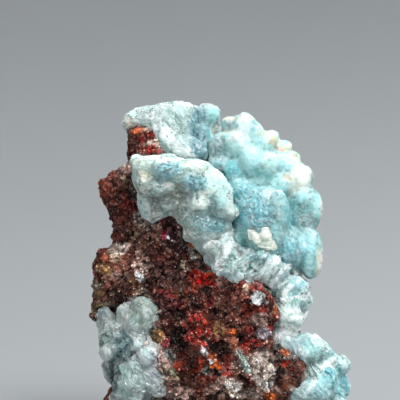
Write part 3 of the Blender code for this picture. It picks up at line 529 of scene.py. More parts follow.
# The seed of the matrix's patches and how much its hidden sides are treated apart. Then its relief, each part
# a size, a height and a seed: swells on those sides, a small wave, round clumps and how their places wander,
# and flat faces of two sizes. The clumps are lowered, so that they rise and sink about as much.
MATRIX_SEED = 90
MATRIX_HIDDEN = 0.92
MATRIX_SWELLS = ((10.0, 1.6, 1), (5.0, 1.8, 2))
MATRIX_WAVE = (2.4, 0.4, 5)
MATRIX_CLUMPS = (2.0, 1.0, 21)
MATRIX_CLUMPS_WANDER = (1.2, 0.5, 14)
MATRIX_CLUMPS_LOWER = 0.55
MATRIX_FACES = (1.5, 0.45, 11)
MATRIX_FINE_FACES = (0.75, 0.3, 31)

# Colours that drift through the matrix, all over it and on its hidden sides: a colour, how strongly it
# covers, the wave heights between which it sets in, and the waves' size and seed.
MATRIX_DRIFTS = (
    ("maroon", 1.0, -0.1, 0.5, 7.0, 81),
    ("grey_brown", 0.7, 0.15, 0.6, 5.0, 82),
    ("rose_grey", 0.7, 0.35, 0.6, 4.0, 83),
)
MATRIX_HIDDEN_DRIFTS = (("orange", 0.8, 0.45, 0.65, 3.0, 84),)

# The pale rim on the matrix round the crusts: how strong it is, how far from them it sets in and covers, how
# softly their lumps melt together, and its waves.
RIM_STRENGTH = 0.8
RIM_EDGE = (1.8, 0.4)
RIM_BLEND = 0.5
RIM_WAVES = ((1.8, 1.0, 85), (0.9, 0.5, 86))

# The matrix's tints are brightened and deepened, shaded face by face from a least share up by a random part
# of the second number, and darkened with painted shade in hollows and in the creases between clumps.
MATRIX_BRIGHT = 1.5
MATRIX_DEPTH = 1.2
MATRIX_FACE_SHADES = (0.75, 0.5)
MATRIX_FINE_SHADES = (0.6, 0.8)
HOLLOW_SHADE_STRENGTH = 0.85
HOLLOW_SHADE_BELOW = 0.25
HOLLOW_SHADE_EDGE = (-0.05, -0.6)
CREASE_SHADE_STRENGTH = 0.9
CREASE_SHADE_EDGE = (0.5, 0.95)

# The matrix's loose grains: their seed, their least and greatest widths next to the mean, how rare pale ones
# are, how much smaller and how pale they are, how bright the tint under a pale one has to be, how far a grain
# is darker or brighter than what it lies on, and how granular it is. The pale ones are partly pale crystal
# grains and partly painted glints.
LOOSE_SEED = 5
LOOSE_WIDTHS = (0.45, 1.5)
PALE_RARITY = 6
PALE_SMALLER = 0.45
PALE_STRENGTH = 0.9
PALE_EDGE = (0.0, 0.1)
LOOSE_SHADES = (0.4, 2.4)
LOOSE_GRAIN = 0.5

# How far grains lean at random, and how far their corners reach, as shares of their width.
GRAIN_LEAN = 0.6
GRAIN_REACH = (0.35, 0.75)

# The fine grains on a crust: their least and greatest widths next to the mean, how deep they are sunk, how
# pale the palest are and how rare, how granular they are, and how many lie where the crust is smooth. The
# pale ones are partly pale crystals and partly painted glints.
SUGAR_WIDTHS = (0.6, 1.4)
SUGAR_SUNK = 0.2
SUGAR_PALE = 0.35
SUGAR_RARITY = 4
SUGAR_GRAIN = 0.6
SUGAR_ELSEWHERE = 0.03

# Rings of a blade: how far along it each lies, and half its width and half its thickness there, as shares.
# Then how granular it is.
BLADE_PROFILE = ((-0.12, 0.5, 0.5), (0.75, 0.44, 0.42), (1.0, 0.26, 0.04))
BLADE_GRAIN = 0.4

# A finish's smaller cells: how many times as many to a metre, and how strong they are. The random shades at
# which a face starts to shine and shines fully. How far each colour of light soaks in, and how deep that is.
# A coat's roughness, and how dark a crust's darkest cells are, next to turquoise.
FINER_CELLS = 2.3
FINER_SHARE = 0.7
SHINING_SHADES = (0.5, 0.95)
SOAK_COLOUR = (0.8, 1.0, 1.0)
SOAK_DEPTH = 2.0 * MM
COAT_ROUGHNESS = 0.12
CRUST_DARK = 0.8

# The crusts' seeds are these numbers after each crust's own.
BUBBLE_SEED = 20
FACET_SEED = 40
FACET_SEED_STEP = 10
DEEP_SEED = 60
BRUSH_SEED = 70

# Flat faces of three sizes on a crust, as shares of its grain's size and height.
FACET_SCALES = ((2.2, 1.1), (1.0, 1.0), (0.5, 0.35))

# How granular a crust is for its finish where it is smooth, and how much of its flat faces' height is left
# there. How much its hidden sides are treated apart, how far and in what waves its bubbles' places wander,
# and how strongly painted shade darkens the creases between them.
CRUST_GRAIN = 0.45
FACETS_LEAST = 0.5
CRUST_HIDDEN = 0.85
BUBBLE_WAY = 0.3
BUBBLE_WAVE = 2.0
CREASE_SHADE_SHARE = 0.6

# The size of a crust's rough wave. Painted shade darkens the seams between lumps: a seam sets in and covers
# where the nearest lump's share falls between these two, and it has this shade.
CRUST_WAVE = 3.0
SEAM_SHADE_EDGE = (0.95, 0.5)
SEAM_SHADE = 0.6

# The colour that drifts through a crust: how strongly it covers, the wave heights between which it sets in,
# and the waves' size.
DEEP_DRIFT = (0.5, -0.2, 0.7, 6.0)

# Faces whose random shade is high are frosted, and faces whose shade is low are clear and take this cast.
FROST_EDGE = (0.55, 0.95)
CLEAR_EDGE = (0.45, 0.05)
CLEAR_CAST = (0.58, 0.82, 0.86)


def colour(name, what, red, green, blue):
    """A colour setting. Its three numbers are as seen on a screen, from 0 to 255."""
    seen_as = np.array([red, green, blue]) / 255
    linear = np.where(seen_as < 0.04045, seen_as / 12.92, ((seen_as + 0.055) / 1.055) ** 2.4)
    return bpy.props.FloatVectorProperty(
        name=name, description=what, default=linear.tolist(), subtype="COLOR", size=3, min=0.0, max=1.0
    )


class SpecimenColours(bpy.types.PropertyGroup):
    """The minerals' colours."""

    rust: colour("Rust", "Main colour of the matrix", 108, 54, 40)
    maroon: colour("Maroon", "Dark red-brown of the matrix", 76, 28, 22)
    dark_red: colour("Dark red", "Deep red stain", 108, 26, 22)
    purple: colour("Purple", "Dark purple-red of the matrix", 78, 20, 38)
    purple_black: colour("Purple black", "Darkest red of the matrix", 44, 16, 24)
    purple_grey: colour("Purple grey", "Sparkling purple-grey grain", 88, 64, 62)
    # Brown black and black brown are partly the matrix's own dark colours and partly painted shade: they lie
    # on its carved pits, and black brown also darkens its hollows and creases.
    brown_black: colour("Brown black", "Dark brown pockets", 44, 24, 18)
    black_brown: colour("Black brown", "Nearly black hollows", 18, 7, 6)
    grey_brown: colour("Grey brown", "Sparkling grey-brown grain", 98, 74, 62)
    grey_red: colour("Grey red", "Pinkish grey grain", 156, 110, 98)
    red: colour("Red", "Red iron stain", 158, 46, 36)
    rust_red: colour("Rust red", "Light rust stain", 118, 60, 42)
    bright_red: colour("Bright red", "Brightest iron stain", 194, 28, 14)
    pink_red: colour("Pink red", "Pale red grain", 180, 82, 76)
    orange_red: colour("Orange red", "Orange-red stain", 196, 74, 38)
    crimson: colour("Crimson", "Cool red stain", 132, 16, 38)
    magenta: colour("Magenta", "Red-purple sparkle", 156, 36, 78)
    orange: colour("Orange", "Orange iron stain", 198, 104, 34)
    orange_brown: colour("Orange brown", "Brownish orange stain", 180, 104, 64)
    salmon: colour("Salmon", "Pale orange stain", 232, 164, 136)
    tan: colour("Tan", "Tan stain", 174, 140, 98)
    olive: colour("Olive", "Olive-brown knobs", 94, 80, 50)
    moss: colour("Moss", "Dark olive-green glass", 72, 82, 60)
    beige: colour("Beige", "Beige crystals", 198, 180, 158)
    rose_grey: colour("Rose grey", "Greyish pink crystals", 192, 166, 156)
    rose_white: colour("Rose white", "Nearly white pink crystals", 230, 218, 208)
    lilac_grey: colour("Lilac grey", "Greyish lilac crystals", 168, 166, 172)
    lilac_white: colour("Lilac white", "White with a lilac cast", 208, 202, 210)
    cream_tan: colour("Cream tan", "Warm cream stain", 212, 202, 174)
    cream_yellow: colour("Cream yellow", "Yellow-cream rim", 226, 226, 184)
    cream_white: colour("Cream white", "Nearly white cream", 238, 240, 224)
    cream_green: colour("Cream green", "Greenish cream crust", 206, 218, 206)
    white: colour("White", "White crystals", 240, 245, 243)
    ice_white: colour("Ice white", "White with a blue cast", 222, 240, 240)
    ice_blue: colour("Ice blue", "Palest blue", 176, 224, 230)
    ice_grey: colour("Ice grey", "Grey-white crystals", 172, 174, 168)
    grey_white: colour("Grey white", "Greyish white crust", 190, 212, 208)
    grey_druse: colour("Grey druse", "Grey granular crust", 146, 148, 136)
    grey_green: colour("Grey green", "Clear grey-green crystals", 156, 182, 172)
    grey_blue: colour("Grey blue", "Clear grey-blue crystals", 158, 186, 190)
    slate: colour("Slate", "Dark grey-blue crystals", 120, 134, 138)
    pale_aqua: colour("Pale aqua", "Pale blue-green crust", 172, 220, 218)
    aqua: colour("Aqua", "Blue-green crust", 140, 194, 194)
    sparkle_blue: colour("Sparkle blue", "Blue sparkling crust", 122, 212, 226)
    turquoise: colour("Turquoise", "Deep blue-green crust", 84, 166, 174)
    teal_green: colour("Teal green", "Deep greenish crust", 92, 158, 152)
    teal_grey: colour("Teal grey", "Greyish teal crust", 128, 172, 174)
    # Shaded teal and deep teal paint the shade of the upper hollow between the top crust and the dome.
    teal_shadow: colour("Shaded teal", "Deep teal of the upper hollow", 94, 144, 154)
    hollow_shade_teal: colour("Deep teal", "Deepest teal of the upper hollow", 66, 116, 128)
    dark_teal: colour("Dark teal", "Dark teal facets", 68, 98, 98)
    # Deep green is partly dark green glass and partly painted shade in crevices and under a rounded crystal.
    green_glass_and_crevice_shade: colour("Deep green", "Darkest green glass", 30, 56, 50)
    mint: colour("Mint", "Pale green crust", 194, 224, 216)
    mint_grey: colour("Mint grey", "Greyish pale green crust", 156, 180, 174)
    sage: colour("Sage", "Grey-green crust", 158, 168, 154)
    olive_sage: colour("Olive sage", "Brownish green stain", 144, 150, 126)


class SpecimenSizes(bpy.types.PropertyGroup):
    """Sizes of the fine relief and the loose grains."""

    matrix_squares: bpy.props.IntProperty(
        name="Matrix squares", description="Squares along each edge of the matrix", default=124, min=8
    )
    crust_squares: bpy.props.IntProperty(
        name="Crust squares", description="Squares along each edge of a middling crust", default=84, min=8
    )
    grains: bpy.props.IntProperty(
        name="Matrix grains", description="Loose crystal grains on the matrix", default=14000, min=0
    )
    grain_size: bpy.props.FloatProperty(
        name="Grain size", description="Mean width of a matrix grain", default=0.5 * MM, unit="LENGTH"
    )


class SpecimenStage(bpy.types.PropertyGroup):
    """The camera, the lamps and the backdrop."""

    distance: bpy.props.FloatProperty(
        name="Camera distance", description="From what it looks at", default=VIEW_DISTANCE * MM, unit="LENGTH"
    )
    elevation: bpy.props.FloatProperty(
        name="Camera elevation", description="Above the level", default=VIEW_DOWN, unit="ROTATION"
    )
    width: bpy.props.FloatProperty(
        name="View width", description="Width seen there", default=VIEW_PIXELS * PIXEL * MM, unit="LENGTH"
    )
    backdrop: colour("Backdrop", "Pale grey sheet", 186, 190, 193)
    key_power: bpy.props.FloatProperty(name="Key lamp", description="Power of the key lamp", default=3.4)
    fill_power: bpy.props.FloatProperty(name="Fill lamp", description="Power of the fill lamp", default=2.2)
    top_power: bpy.props.FloatProperty(name="Top lamp", description="Power of the top lamp", default=1.6)


def lattice(cell, seed):
    """A repeatable random number from 0 to 1 for each whole-number cell."""
    n = cell.astype(np.int64).astype(np.uint32) * np.array(HASH_STRIDES, np.uint32)
    n = n.sum(axis=1, dtype=np.uint32)
    n = (n ^ np.uint32(seed * HASH_SEED_STEP)) * np.uint32(HASH_MIXERS[0])
    n = (n ^ (n >> np.uint32(15))) * np.uint32(HASH_MIXERS[1])
    return (n ^ (n >> np.uint32(13))) / 2.0**32


def waves(points, size, seed):
    """Smooth random heights from -1 to 1: each cell of that size has a random height at its corners, and a
    point takes their mean, weighted by how near each corner is along X, Y and Z."""
    places = points / size + CELLS_FROM_ZERO
    cell = np.floor(places)
    t = places - cell
    t = t * t * (3 - 2 * t)
    total = np.zeros(len(points))
    for corner in np.ndindex(2, 2, 2):
        share = np.prod(np.where(corner, t, 1 - t), axis=1)
        total += share * lattice(cell + corner, seed)
    return 2 * total - 1


def drift(points, size, seed):
    """Three wave heights for each point, to push it about."""
    return np.stack([waves(points, size, seed + step) for step in range(3)], axis=1)


def seeds_near(points, size, seed):
    """Scatters one seed in each cell and finds the nearest for each point.

    Gives the way from that seed and its distance, the next seed's distance, both in cells, and the
    nearest seed's cell."""
    places = points / size + CELLS_FROM_ZERO
    home = np.floor(places)
    near = np.full(len(points), FAR)
    after = near.copy()
    away = np.zeros_like(points)
    owner = home.copy()
    for corner in np.ndindex(3, 3, 3):
        cell = home + corner - 1
        step = places - cell - np.stack([lattice(cell, seed + axis) for axis in range(3)], axis=1)
        gap = np.sqrt(np.einsum("ij,ij->i", step, step))
        closer = gap < near
        after = np.where(closer, near, np.minimum(after, gap))
        near = np.where(closer, gap, near)
        away[closer] = step[closer]
        owner[closer] = cell[closer]
    return away, near, after, owner


def facets(points, size, height, seed):
    """Flat tilted faces of that size. Each seed's face is a random height plus a random slope times the way
    from the seed. Also gives each face's random number."""
    away, _, _, owner = seeds_near(points, size, seed)
    slope = np.stack([lattice(owner, seed + 3 + axis) for axis in range(3)], axis=1) - 0.5
    level = lattice(owner, seed + 6)
    return height * (np.einsum("ij,ij->i", away, slope) * 2 + level - 0.5), level


def stretched(points, way, times):
    """Squeezes places along a way, so that what is worked out for them comes out that many times longer."""
    way = np.array(way) / np.linalg.norm(way)
    return points - np.outer(points @ way * (1 - 1 / times), way)


def bubbles(points, size, height, seed):
    """Round bubbles of that size that meet in creases: height times one less the squared distance from the
    seed. Also gives how near a crease lies, from 0 to 1."""
    _, near, after, _ = seeds_near(points, size, seed)
    return height * (0.5 - near**2), np.clip(1 - (after - near) * CREASE_STEEPNESS, 0, 1)


def melt(points, lumps, blend):
    """How far each point lies outside the lumps: minus the blend length times the logarithm of the summed
    exponentials of minus each lump's distance over it. Also the nearest lump's share of that sum."""
    total = np.full(len(points), NOTHING)
    most = np.zeros(len(points))
    for x, y, z, *radii in lumps:
        radii = np.array(radii * (3 // len(radii)))
        offset = (points - (x, y, z)) / radii
        scaled = np.sqrt(np.einsum("ij,ij->i", offset, offset))
        offset /= radii
        slope = np.sqrt(np.einsum("ij,ij->i", offset, offset)) + TINY
        share = np.exp(scaled * (1 - scaled) / slope / blend)
        total += share
        most = np.maximum(most, share)
    return -blend * np.log(total), most / total


def carved(points, lumps, blend, hollows):
    """How far each point lies outside the lumps with the hollows scooped out."""
    gap = melt(points, lumps, blend)[0]
    return np.maximum(gap, -melt(points, hollows, blend)[0]) if hollows else gap


def shrunk(lumps, by):
    """The same lumps with smaller radii."""
    return [(x, y, z, *(radius - by for radius in radii)) for x, y, z, *radii in lumps]


def ball(squares):
    """Unit rays through the corners of a cube cut into squares, and the triangles between them.

    With a and b from -1 to 1 across a face of the cube, the ray is (tan(a pi / 4), tan(b pi / 4), 1), scaled
    to length one and turned for each of the six faces."""
    a, b = np.meshgrid(np.arange(squares + 1), np.arange(squares + 1), indexing="ij")
    places, quads = [], []
    index = np.arange((squares + 1) ** 2).reshape(squares + 1, squares + 1)
    rim = [index[:-1, :-1], index[1:, :-1], index[1:, 1:], index[:-1, 1:]]
    quad = np.stack([corner.ravel() for corner in rim], axis=1)
    for axis in range(3):
        for side in (0, squares):
            place = np.zeros((len(index.ravel()), 3), int)
            place[:, axis] = side
            place[:, (axis + 1) % 3] = a.ravel()
            place[:, (axis + 2) % 3] = b.ravel()
            quads.append((quad if side else quad[:, ::-1]) + len(places) * index.size)
            places.append(place)
    places, shared = np.unique(np.concatenate(places), axis=0, return_inverse=True)
    quads = shared.ravel()[np.concatenate(quads)]
    rays = np.tan((places / squares * 2 - 1) * np.pi / 4)
    return rays / np.linalg.norm(rays, axis=1)[:, None], halved(quads)


def halved(quads):
    """Each square as two triangles."""
    return np.concatenate([quads[:, [0, 1, 2]], quads[:, [0, 2, 3]]])


def draw_in(rays, roots, lumps, blend, hollows=()):
    """Walks in along each ray towards its root until it meets the lumps with the hollows scooped out."""
    reach = np.full(len(rays), MARCH_START)
    live = np.arange(len(rays))
    for _ in range(MARCH_STEPS):
        step = carved(roots[live] + rays[live] * reach[live, None], lumps, blend, hollows)
        reach[live] = np.maximum(reach[live] - step, CORE)
        live = live[(np.abs(step) > MET) & (reach[live] > CORE)]
        if not len(live):
            break
    return roots + rays * reach[:, None]


def cast(squares, centre, lean, core):
    """Rays that lean a way, their triangles, and their roots on an ellipsoid of half sizes core round the
    centre."""
    rays, faces = ball(squares)
    rays = rays + lean
    rays /= np.linalg.norm(rays, axis=1)[:, None]
    return rays, faces, np.array(centre) + rays * core


def seen(points):
    """The column and row of the front view at which each point is seen: its ways to the right of and above
    the view's middle, over its distance ahead of the eye, times the view's distance over a pixel's size."""
    away = points - EYE
    scale = VIEW_DISTANCE / PIXEL / (away @ AHEAD)
    return VIEW_CENTRE + away @ RIGHT * scale, VIEW_CENTRE - away @ UP * scale


def seats(columns, rows, lumps, blend):
    """Where the lines of sight through places of the front view meet the lumps, or come nearest to them, and
    the unit ways along them."""
    across, down = (np.asarray(columns) - VIEW_CENTRE) * PIXEL, (np.asarray(rows) - VIEW_CENTRE) * PIXEL
    ways = AHEAD * VIEW_DISTANCE + np.outer(across, RIGHT) - np.outer(down, UP)
    ways /= np.linalg.norm(ways, axis=1)[:, None]
    reach = np.full(len(ways), VIEW_DISTANCE - SIGHT_START)
    least = np.full(len(ways), np.inf)
    best = reach.copy()
    for _ in range(2 * MARCH_STEPS):
        gap = carved(EYE + ways * reach[:, None], lumps, blend, ())
        closer = gap < least - MET
        best[closer] = reach[closer]
        least = np.minimum(least, gap)
        reach += np.maximum(gap, 0)
    return EYE + ways * best[:, None], ways


def flattened(lumps, share):
    """Round lumps made thinner from front to back, for a crust that spreads over what it grew on."""
    return [(x, y, z, radius, share * radius, radius) for x, y, z, radius in lumps]


def on_front(lumps, blend, details):
    """Smaller lumps, set on others at places of the front view.

    Each detail is a column, a row, half a width and half a height in pixels, and how far its middle stands
    out towards the eye, in its smaller radius. It is as deep as it is narrow."""
    if not details:
        return []
    columns, rows, across, up, out = np.array(details, float).T
    feet, ways = seats(columns, rows, lumps, blend)
    radii = np.stack([across, np.minimum(across, up), up], axis=1) * PIXEL
    middles = feet - ways * (out * radii[:, 1])[:, None]
    return [(*middle, *size) for middle, size in zip(middles, radii)]


def raised(ridges):
    """The details that raise each ridge, thinner towards its tip."""
    return [
        (column + t * (to_column - column), row + t * (to_row - row), width * size, width * size, RIDGE_OUT)
        for column, row, to_column, to_row, width, _ in ridges
        for t, size in RIDGE_STEPS
    ]


def cut_flat(points, roots):
    """Draws every point below the foot's plane back towards its root until it lies in that plane."""
    share = np.where(points[:, 2] < 0, roots[:, 2] / np.maximum(roots[:, 2] - points[:, 2], TINY), 1.0)
    return roots + (points - roots) * share[:, None]


def crossed(points, faces):
    """The cross product of two edges of each triangle."""
    a, b, c = (points[faces[:, k]] for k in range(3))
    return np.cross(b - a, c - a)


def normals_of(points, faces):
    """Each corner's normal: the summed cross products of the edges of the triangles round it."""
    cross = crossed(points, faces)
    total = [sum(np.bincount(k, cross[:, axis], len(points)) for k in faces.T) for axis in range(3)]
    total = np.stack(total, axis=1)
    return total / (np.linalg.norm(total, axis=1)[:, None] + TINIEST)


def palette():
    """Each colour setting by its name, as an array."""
    colours = bpy.context.scene.specimen_colours
    return {name: np.array(getattr(colours, name)) for name in SpecimenColours.__annotations__}


def ease(low, high, value):
    """0 below low, 1 above high, and a smooth step between them."""
    t = np.clip((value - low) / (high - low), 0, 1)
    return t * t * (3 - 2 * t)


def lay(tint, mask, over):
    """Covers the tints with another colour as far as the mask says."""
    return tint + (over - tint) * mask[:, None]


def drifted(tint, points, drifts, where, paint):
    """Lays each drifting colour over the tints where its waves are high, as far as where says."""
    for name, strength, low, high, size, seed in drifts:
        tint = lay(tint, strength * where * ease(low, high, waves(points, size, seed)), paint[name])
    return tint


class Brush:
    """Lays patches on the side that the front view shows, with edges broken up by waves."""

    def __init__(self, points, normals, seed):
        places = points
        for way, size, step in EDGE_WANDERS:
            places = places + way * drift(points, size, seed + step)
        self.column, self.row = seen(places)
        self.front = ease(*FRONT_EDGE, normals[:, 1])

    def mask(self, patch, edge=PATCH_EDGE):
        """How far a patch covers each corner."""
        column, row, across, up, _, strength = patch
        out = np.hypot((self.column - column) / across, (self.row - row) / up)
        return strength * self.front * ease(*edge, out)

    def paint(self, tint, patches, paint, edge=PATCH_EDGE):
        """Lays the patches in their order."""
        for patch in patches:
            tint = lay(tint, self.mask(patch, edge), paint[patch[4]])
        return tint

    def streak(self, tint, ridges, paint):
        """Draws a stroke along each ridge: the mask falls off with the distance from its line."""
        for column, row, to_column, to_row, width, name in ridges:
            across, down = to_column - column, to_row - row
            t = (self.column - column) * across + (self.row - row) * down
            t = np.clip(t / (across**2 + down**2), 0, 1)
            out = np.hypot(self.column - column - t * across, self.row - row - t * down)
            tint = lay(tint, STREAK_STRENGTH * self.front * ease(*STREAK_EDGE, out / width), paint[name])
        return tint

    def granular(self, patches):
        """How granular each corner is: the last patch that covers it decides."""
        amount = np.full(len(self.row), GRANULAR_ELSEWHERE)
        for patch in patches:
            amount += ((patch[4] in GRANULAR) * 1.0 - amount) * self.mask(patch)
        return amount


class Piece:
    """Corners, triangles, tints, grain and shading of one piece, in the lists' millimetres."""

    def __init__(self):
        self.points, self.faces, self.tints, self.grain, self.smooth = [], [], [], [], []
        self.corners = 0

    def add(self, points, faces, tint, grain, smooth):
        """Adds a part. Tint and grain are one value or one for each corner."""
        self.points.append(points)
        self.faces.append(faces + self.corners)
        self.tints.append(np.broadcast_to(tint, (len(points), 3)))
        self.grain.append(np.broadcast_to(grain, len(points)))
        self.smooth.append(np.full(len(faces), smooth))
        self.corners += len(points)

    def build(self, name, material):
        """Puts the parts into one mesh over the middle of the specimen."""
        points = (np.concatenate(self.points) - MIDDLE) * MM
        faces = np.concatenate(self.faces)
        tints = np.clip(np.concatenate(self.tints), 0, 1)
        mesh = bpy.data.meshes.new(name)
        mesh.vertices.add(len(points))
        mesh.vertices.foreach_set("co", points.astype(np.float32).ravel())
        mesh.loops.add(faces.size)
        mesh.loops.foreach_set("vertex_index", faces.astype(np.int32).ravel())
        mesh.polygons.add(len(faces))
        mesh.polygons.foreach_set("loop_start", np.arange(0, faces.size, 3, dtype=np.int32))
        mesh.polygons.foreach_set("use_smooth", np.concatenate(self.smooth))
        mesh.update(calc_edges=True)
        tint = mesh.color_attributes.new(TINT, "FLOAT_COLOR", "POINT")
        values = np.column_stack([tints, np.ones(len(tints))])
        tint.data.foreach_set("color", values.astype(np.float32).ravel())
        grain = mesh.attributes.new(GRAIN, "FLOAT", "POINT")
        grain.data.foreach_set("value", np.concatenate(self.grain).astype(np.float32))
        mesh.materials.append(material)
        made = bpy.data.objects.new(name, mesh)
        bpy.context.scene.collection.objects.link(made)
        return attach(made, BODY)


def turned(ways, twists):
    """Three unit directions for each way: across, over and along it, twisted round it by an angle."""
    along = ways / np.linalg.norm(ways, axis=1)[:, None]
    helper = np.where(np.abs(along[:, 1:2]) < 0.95, (0.0, 1.0, 0.0), (0.0, 0.0, 1.0))
    across = np.cross(helper, along)
    across /= np.linalg.norm(across, axis=1)[:, None]
    over = np.cross(along, across)
    cos, sin = np.cos(twists)[:, None], np.sin(twists)[:, None]
    return np.stack([across * cos + over * sin, over * cos - across * sin, along], axis=1)


def repeated(faces, corners, count):
    """The triangles of one shape with so many corners, repeated for each of its copies."""
    return (faces[None] + (np.arange(count) * corners)[:, None, None]).reshape(-1, 3)


def prisms(feet, ways, sizes):
    """Six-sided crystals that taper to a chisel tip. Sizes are their widths, thicknesses and lengths.

    At angle v and step u, a corner is w(u) cos v times the width across, d(u) sin v times the thickness over
    and t(u) times the length along, with w and d falling from 0.5 until the tip is a short edge."""
    angles = np.arange(6) * np.pi / 3 + np.pi / 6
    rings = [
        np.column_stack([np.cos(angles) * wide, np.sin(angles) * deep, np.full(6, t)])
        for t, wide, deep in BLADE_PROFILE
    ]
    shape = np.concatenate(rings)
    frames = turned(ways, np.zeros(len(feet)))
    points = feet[:, None] + np.einsum("nki,nij->nkj", shape[None] * sizes[:, None], frames)
    step = np.arange(6)
    after = (step + 1) % 6
    sides = [np.stack([step + k, after + k, after + k + 6, step + k + 6], axis=1) for k in (0, 6)]
    cap = np.array([[12, 13, 14], [12, 14, 15], [12, 15, 17], [15, 16, 17]])
    base = np.array([[0, 2, 1], [0, 3, 2], [0, 5, 3], [3, 5, 4]])
    faces = np.concatenate([halved(np.concatenate(sides)), cap, base])
    return points.reshape(-1, 3), repeated(faces, len(shape), len(feet)), len(shape)


def add_blades(piece, blades, lumps, blend, paint):
    """Adds the listed blades to a piece, each from where its foot is seen on the lumps."""
    places = np.array([blade[:7] for blade in blades], float)
    feet, ways = seats(places[:, 0], places[:, 1], lumps, blend)
    across, down = (places[:, 2] - places[:, 0]) * PIXEL, (places[:, 3] - places[:, 1]) * PIXEL
    length = np.hypot(across, down)
    along = np.outer(across, RIGHT) - np.outer(down, UP) - ways * (places[:, 6] * length)[:, None]
    sizes = np.column_stack([places[:, 4] * PIXEL, places[:, 5] * PIXEL, length])
    points, faces, corners = prisms(feet, along, sizes)
    tints = np.repeat([paint[blade[7]] for blade in blades], corners, axis=0)
    piece.add(points, faces, tints, BLADE_GRAIN, False)


def scatter(points, faces, tints, count, random, keep=None):
    """Random places on the triangles, as dense as their area times what is kept: places, normals, tints."""
    cross = crossed(points, faces)
    area = np.linalg.norm(cross, axis=1)
    weight = area if keep is None else area * keep[faces].mean(axis=1)
    chosen = random.choice(len(faces), count, p=weight / weight.sum())
    u, v = np.sqrt(random.random(count)), random.random(count)
    shares = np.stack([1 - u, u * (1 - v), u * v], axis=1)
    places = np.einsum("nk,nkj->nj", shares, points[faces[chosen]])
    return places, cross[chosen] / area[chosen, None], np.einsum("nk,nkj->nj", shares, tints[faces[chosen]])


def grains(places, normals, widths, random):
    """Eight-sided grains, each a pair of pyramids with six uneven corners on three crossed axes."""
    ways = normals + random.normal(0, GRAIN_LEAN, normals.shape)
    axes = turned(ways, random.random(len(places)) * np.pi)
    corners = np.concatenate([axes, -axes], axis=1) * random.uniform(*GRAIN_REACH, (len(places), 6, 1))
    points = places[:, None] + corners * widths[:, None, None]
    faces = np.array([[0, 1, 2], [1, 3, 2], [3, 4, 2], [4, 0, 2], [1, 0, 5], [3, 1, 5], [4, 3, 5], [0, 4, 5]])
    return points.reshape(-1, 3), repeated(faces, 6, len(places))


def sugar(piece, host, keep, count, width, random):
    """Adds fine crystal grains where a crust is granular, sunk into it and a few of them paler than it,
    partly as painted glints.
    """
    places, normals, tints = scatter(*host, count, random, keep)
    sizes = width * random.uniform(*SUGAR_WIDTHS, count)
    points, faces = grains(places - normals * sizes[:, None] * SUGAR_SUNK, normals, sizes, random)
    tints = lay(tints, SUGAR_PALE * random.random(count) ** SUGAR_RARITY, np.ones(3))
    piece.add(points, faces, np.repeat(tints, 6, axis=0), SUGAR_GRAIN, False)


def link(tree, socket, source):
    """Feeds a socket from another one, or gives it a plain value."""
    if isinstance(source, bpy.types.NodeSocket):
        tree.links.new(source, socket)
    else:
        socket.default_value = source


def node(tree, kind, settings=(), **inputs):
    """Makes a node, sets its settings and feeds its inputs by name, with _ for a space."""
    made = tree.nodes.new(kind)
    for name, value in dict(settings).items():
        setattr(made, name, value)
    for name, source in inputs.items():
        link(tree, made.inputs[name.replace("_", " ")], source)
    return made


def math_node(tree, operation, *sources):
    """The result of a sum, a product or the like."""
    made = node(tree, "ShaderNodeMath", {"operation": operation})
    for socket, source in zip(made.inputs, sources):
        link(tree, socket, source)
    return made.outputs[0]


def vector_math(tree, operation, *sources, **inputs):
    """The results of a sum, a product or the like of vectors."""
    made = node(tree, "ShaderNodeVectorMath", {"operation": operation}, **inputs)
    for socket, source in zip(made.inputs, sources):
        link(tree, socket, source)
    return made.outputs


def mixed(tree, factor, first, second):
    """One colour with another laid on it as far as the factor says."""
    made = node(tree, "ShaderNodeMix", {"data_type": "RGBA"})
    link(tree, made.inputs[0], factor)
    link(tree, made.inputs[6], first)
    link(tree, made.inputs[7], second)
    return made.outputs[2]


def ranged(tree, value, low, high, to_low=0.0, to_high=1.0):
    """A value moved from one range to another and held within it."""
    made = tree.nodes.new("ShaderNodeMapRange")
    for socket, source in zip(made.inputs, (value, low, high, to_low, to_high)):
        link(tree, socket, source)
    return made.outputs[0]


def new_group(name, inputs, outputs):
    """A shader group with named sockets, given as name, kind and default."""
    group = bpy.data.node_groups.new(name, "ShaderNodeTree")
    for socket, kind, value in inputs:
        made = group.interface.new_socket(name=socket, in_out="INPUT", socket_type=kind)
        if value is not None:
            made.default_value = value
    for socket, kind in outputs:
        group.interface.new_socket(name=socket, in_out="OUTPUT", socket_type=kind)
    return group, group.nodes.new("NodeGroupInput").outputs, group.nodes.new("NodeGroupOutput").inputs


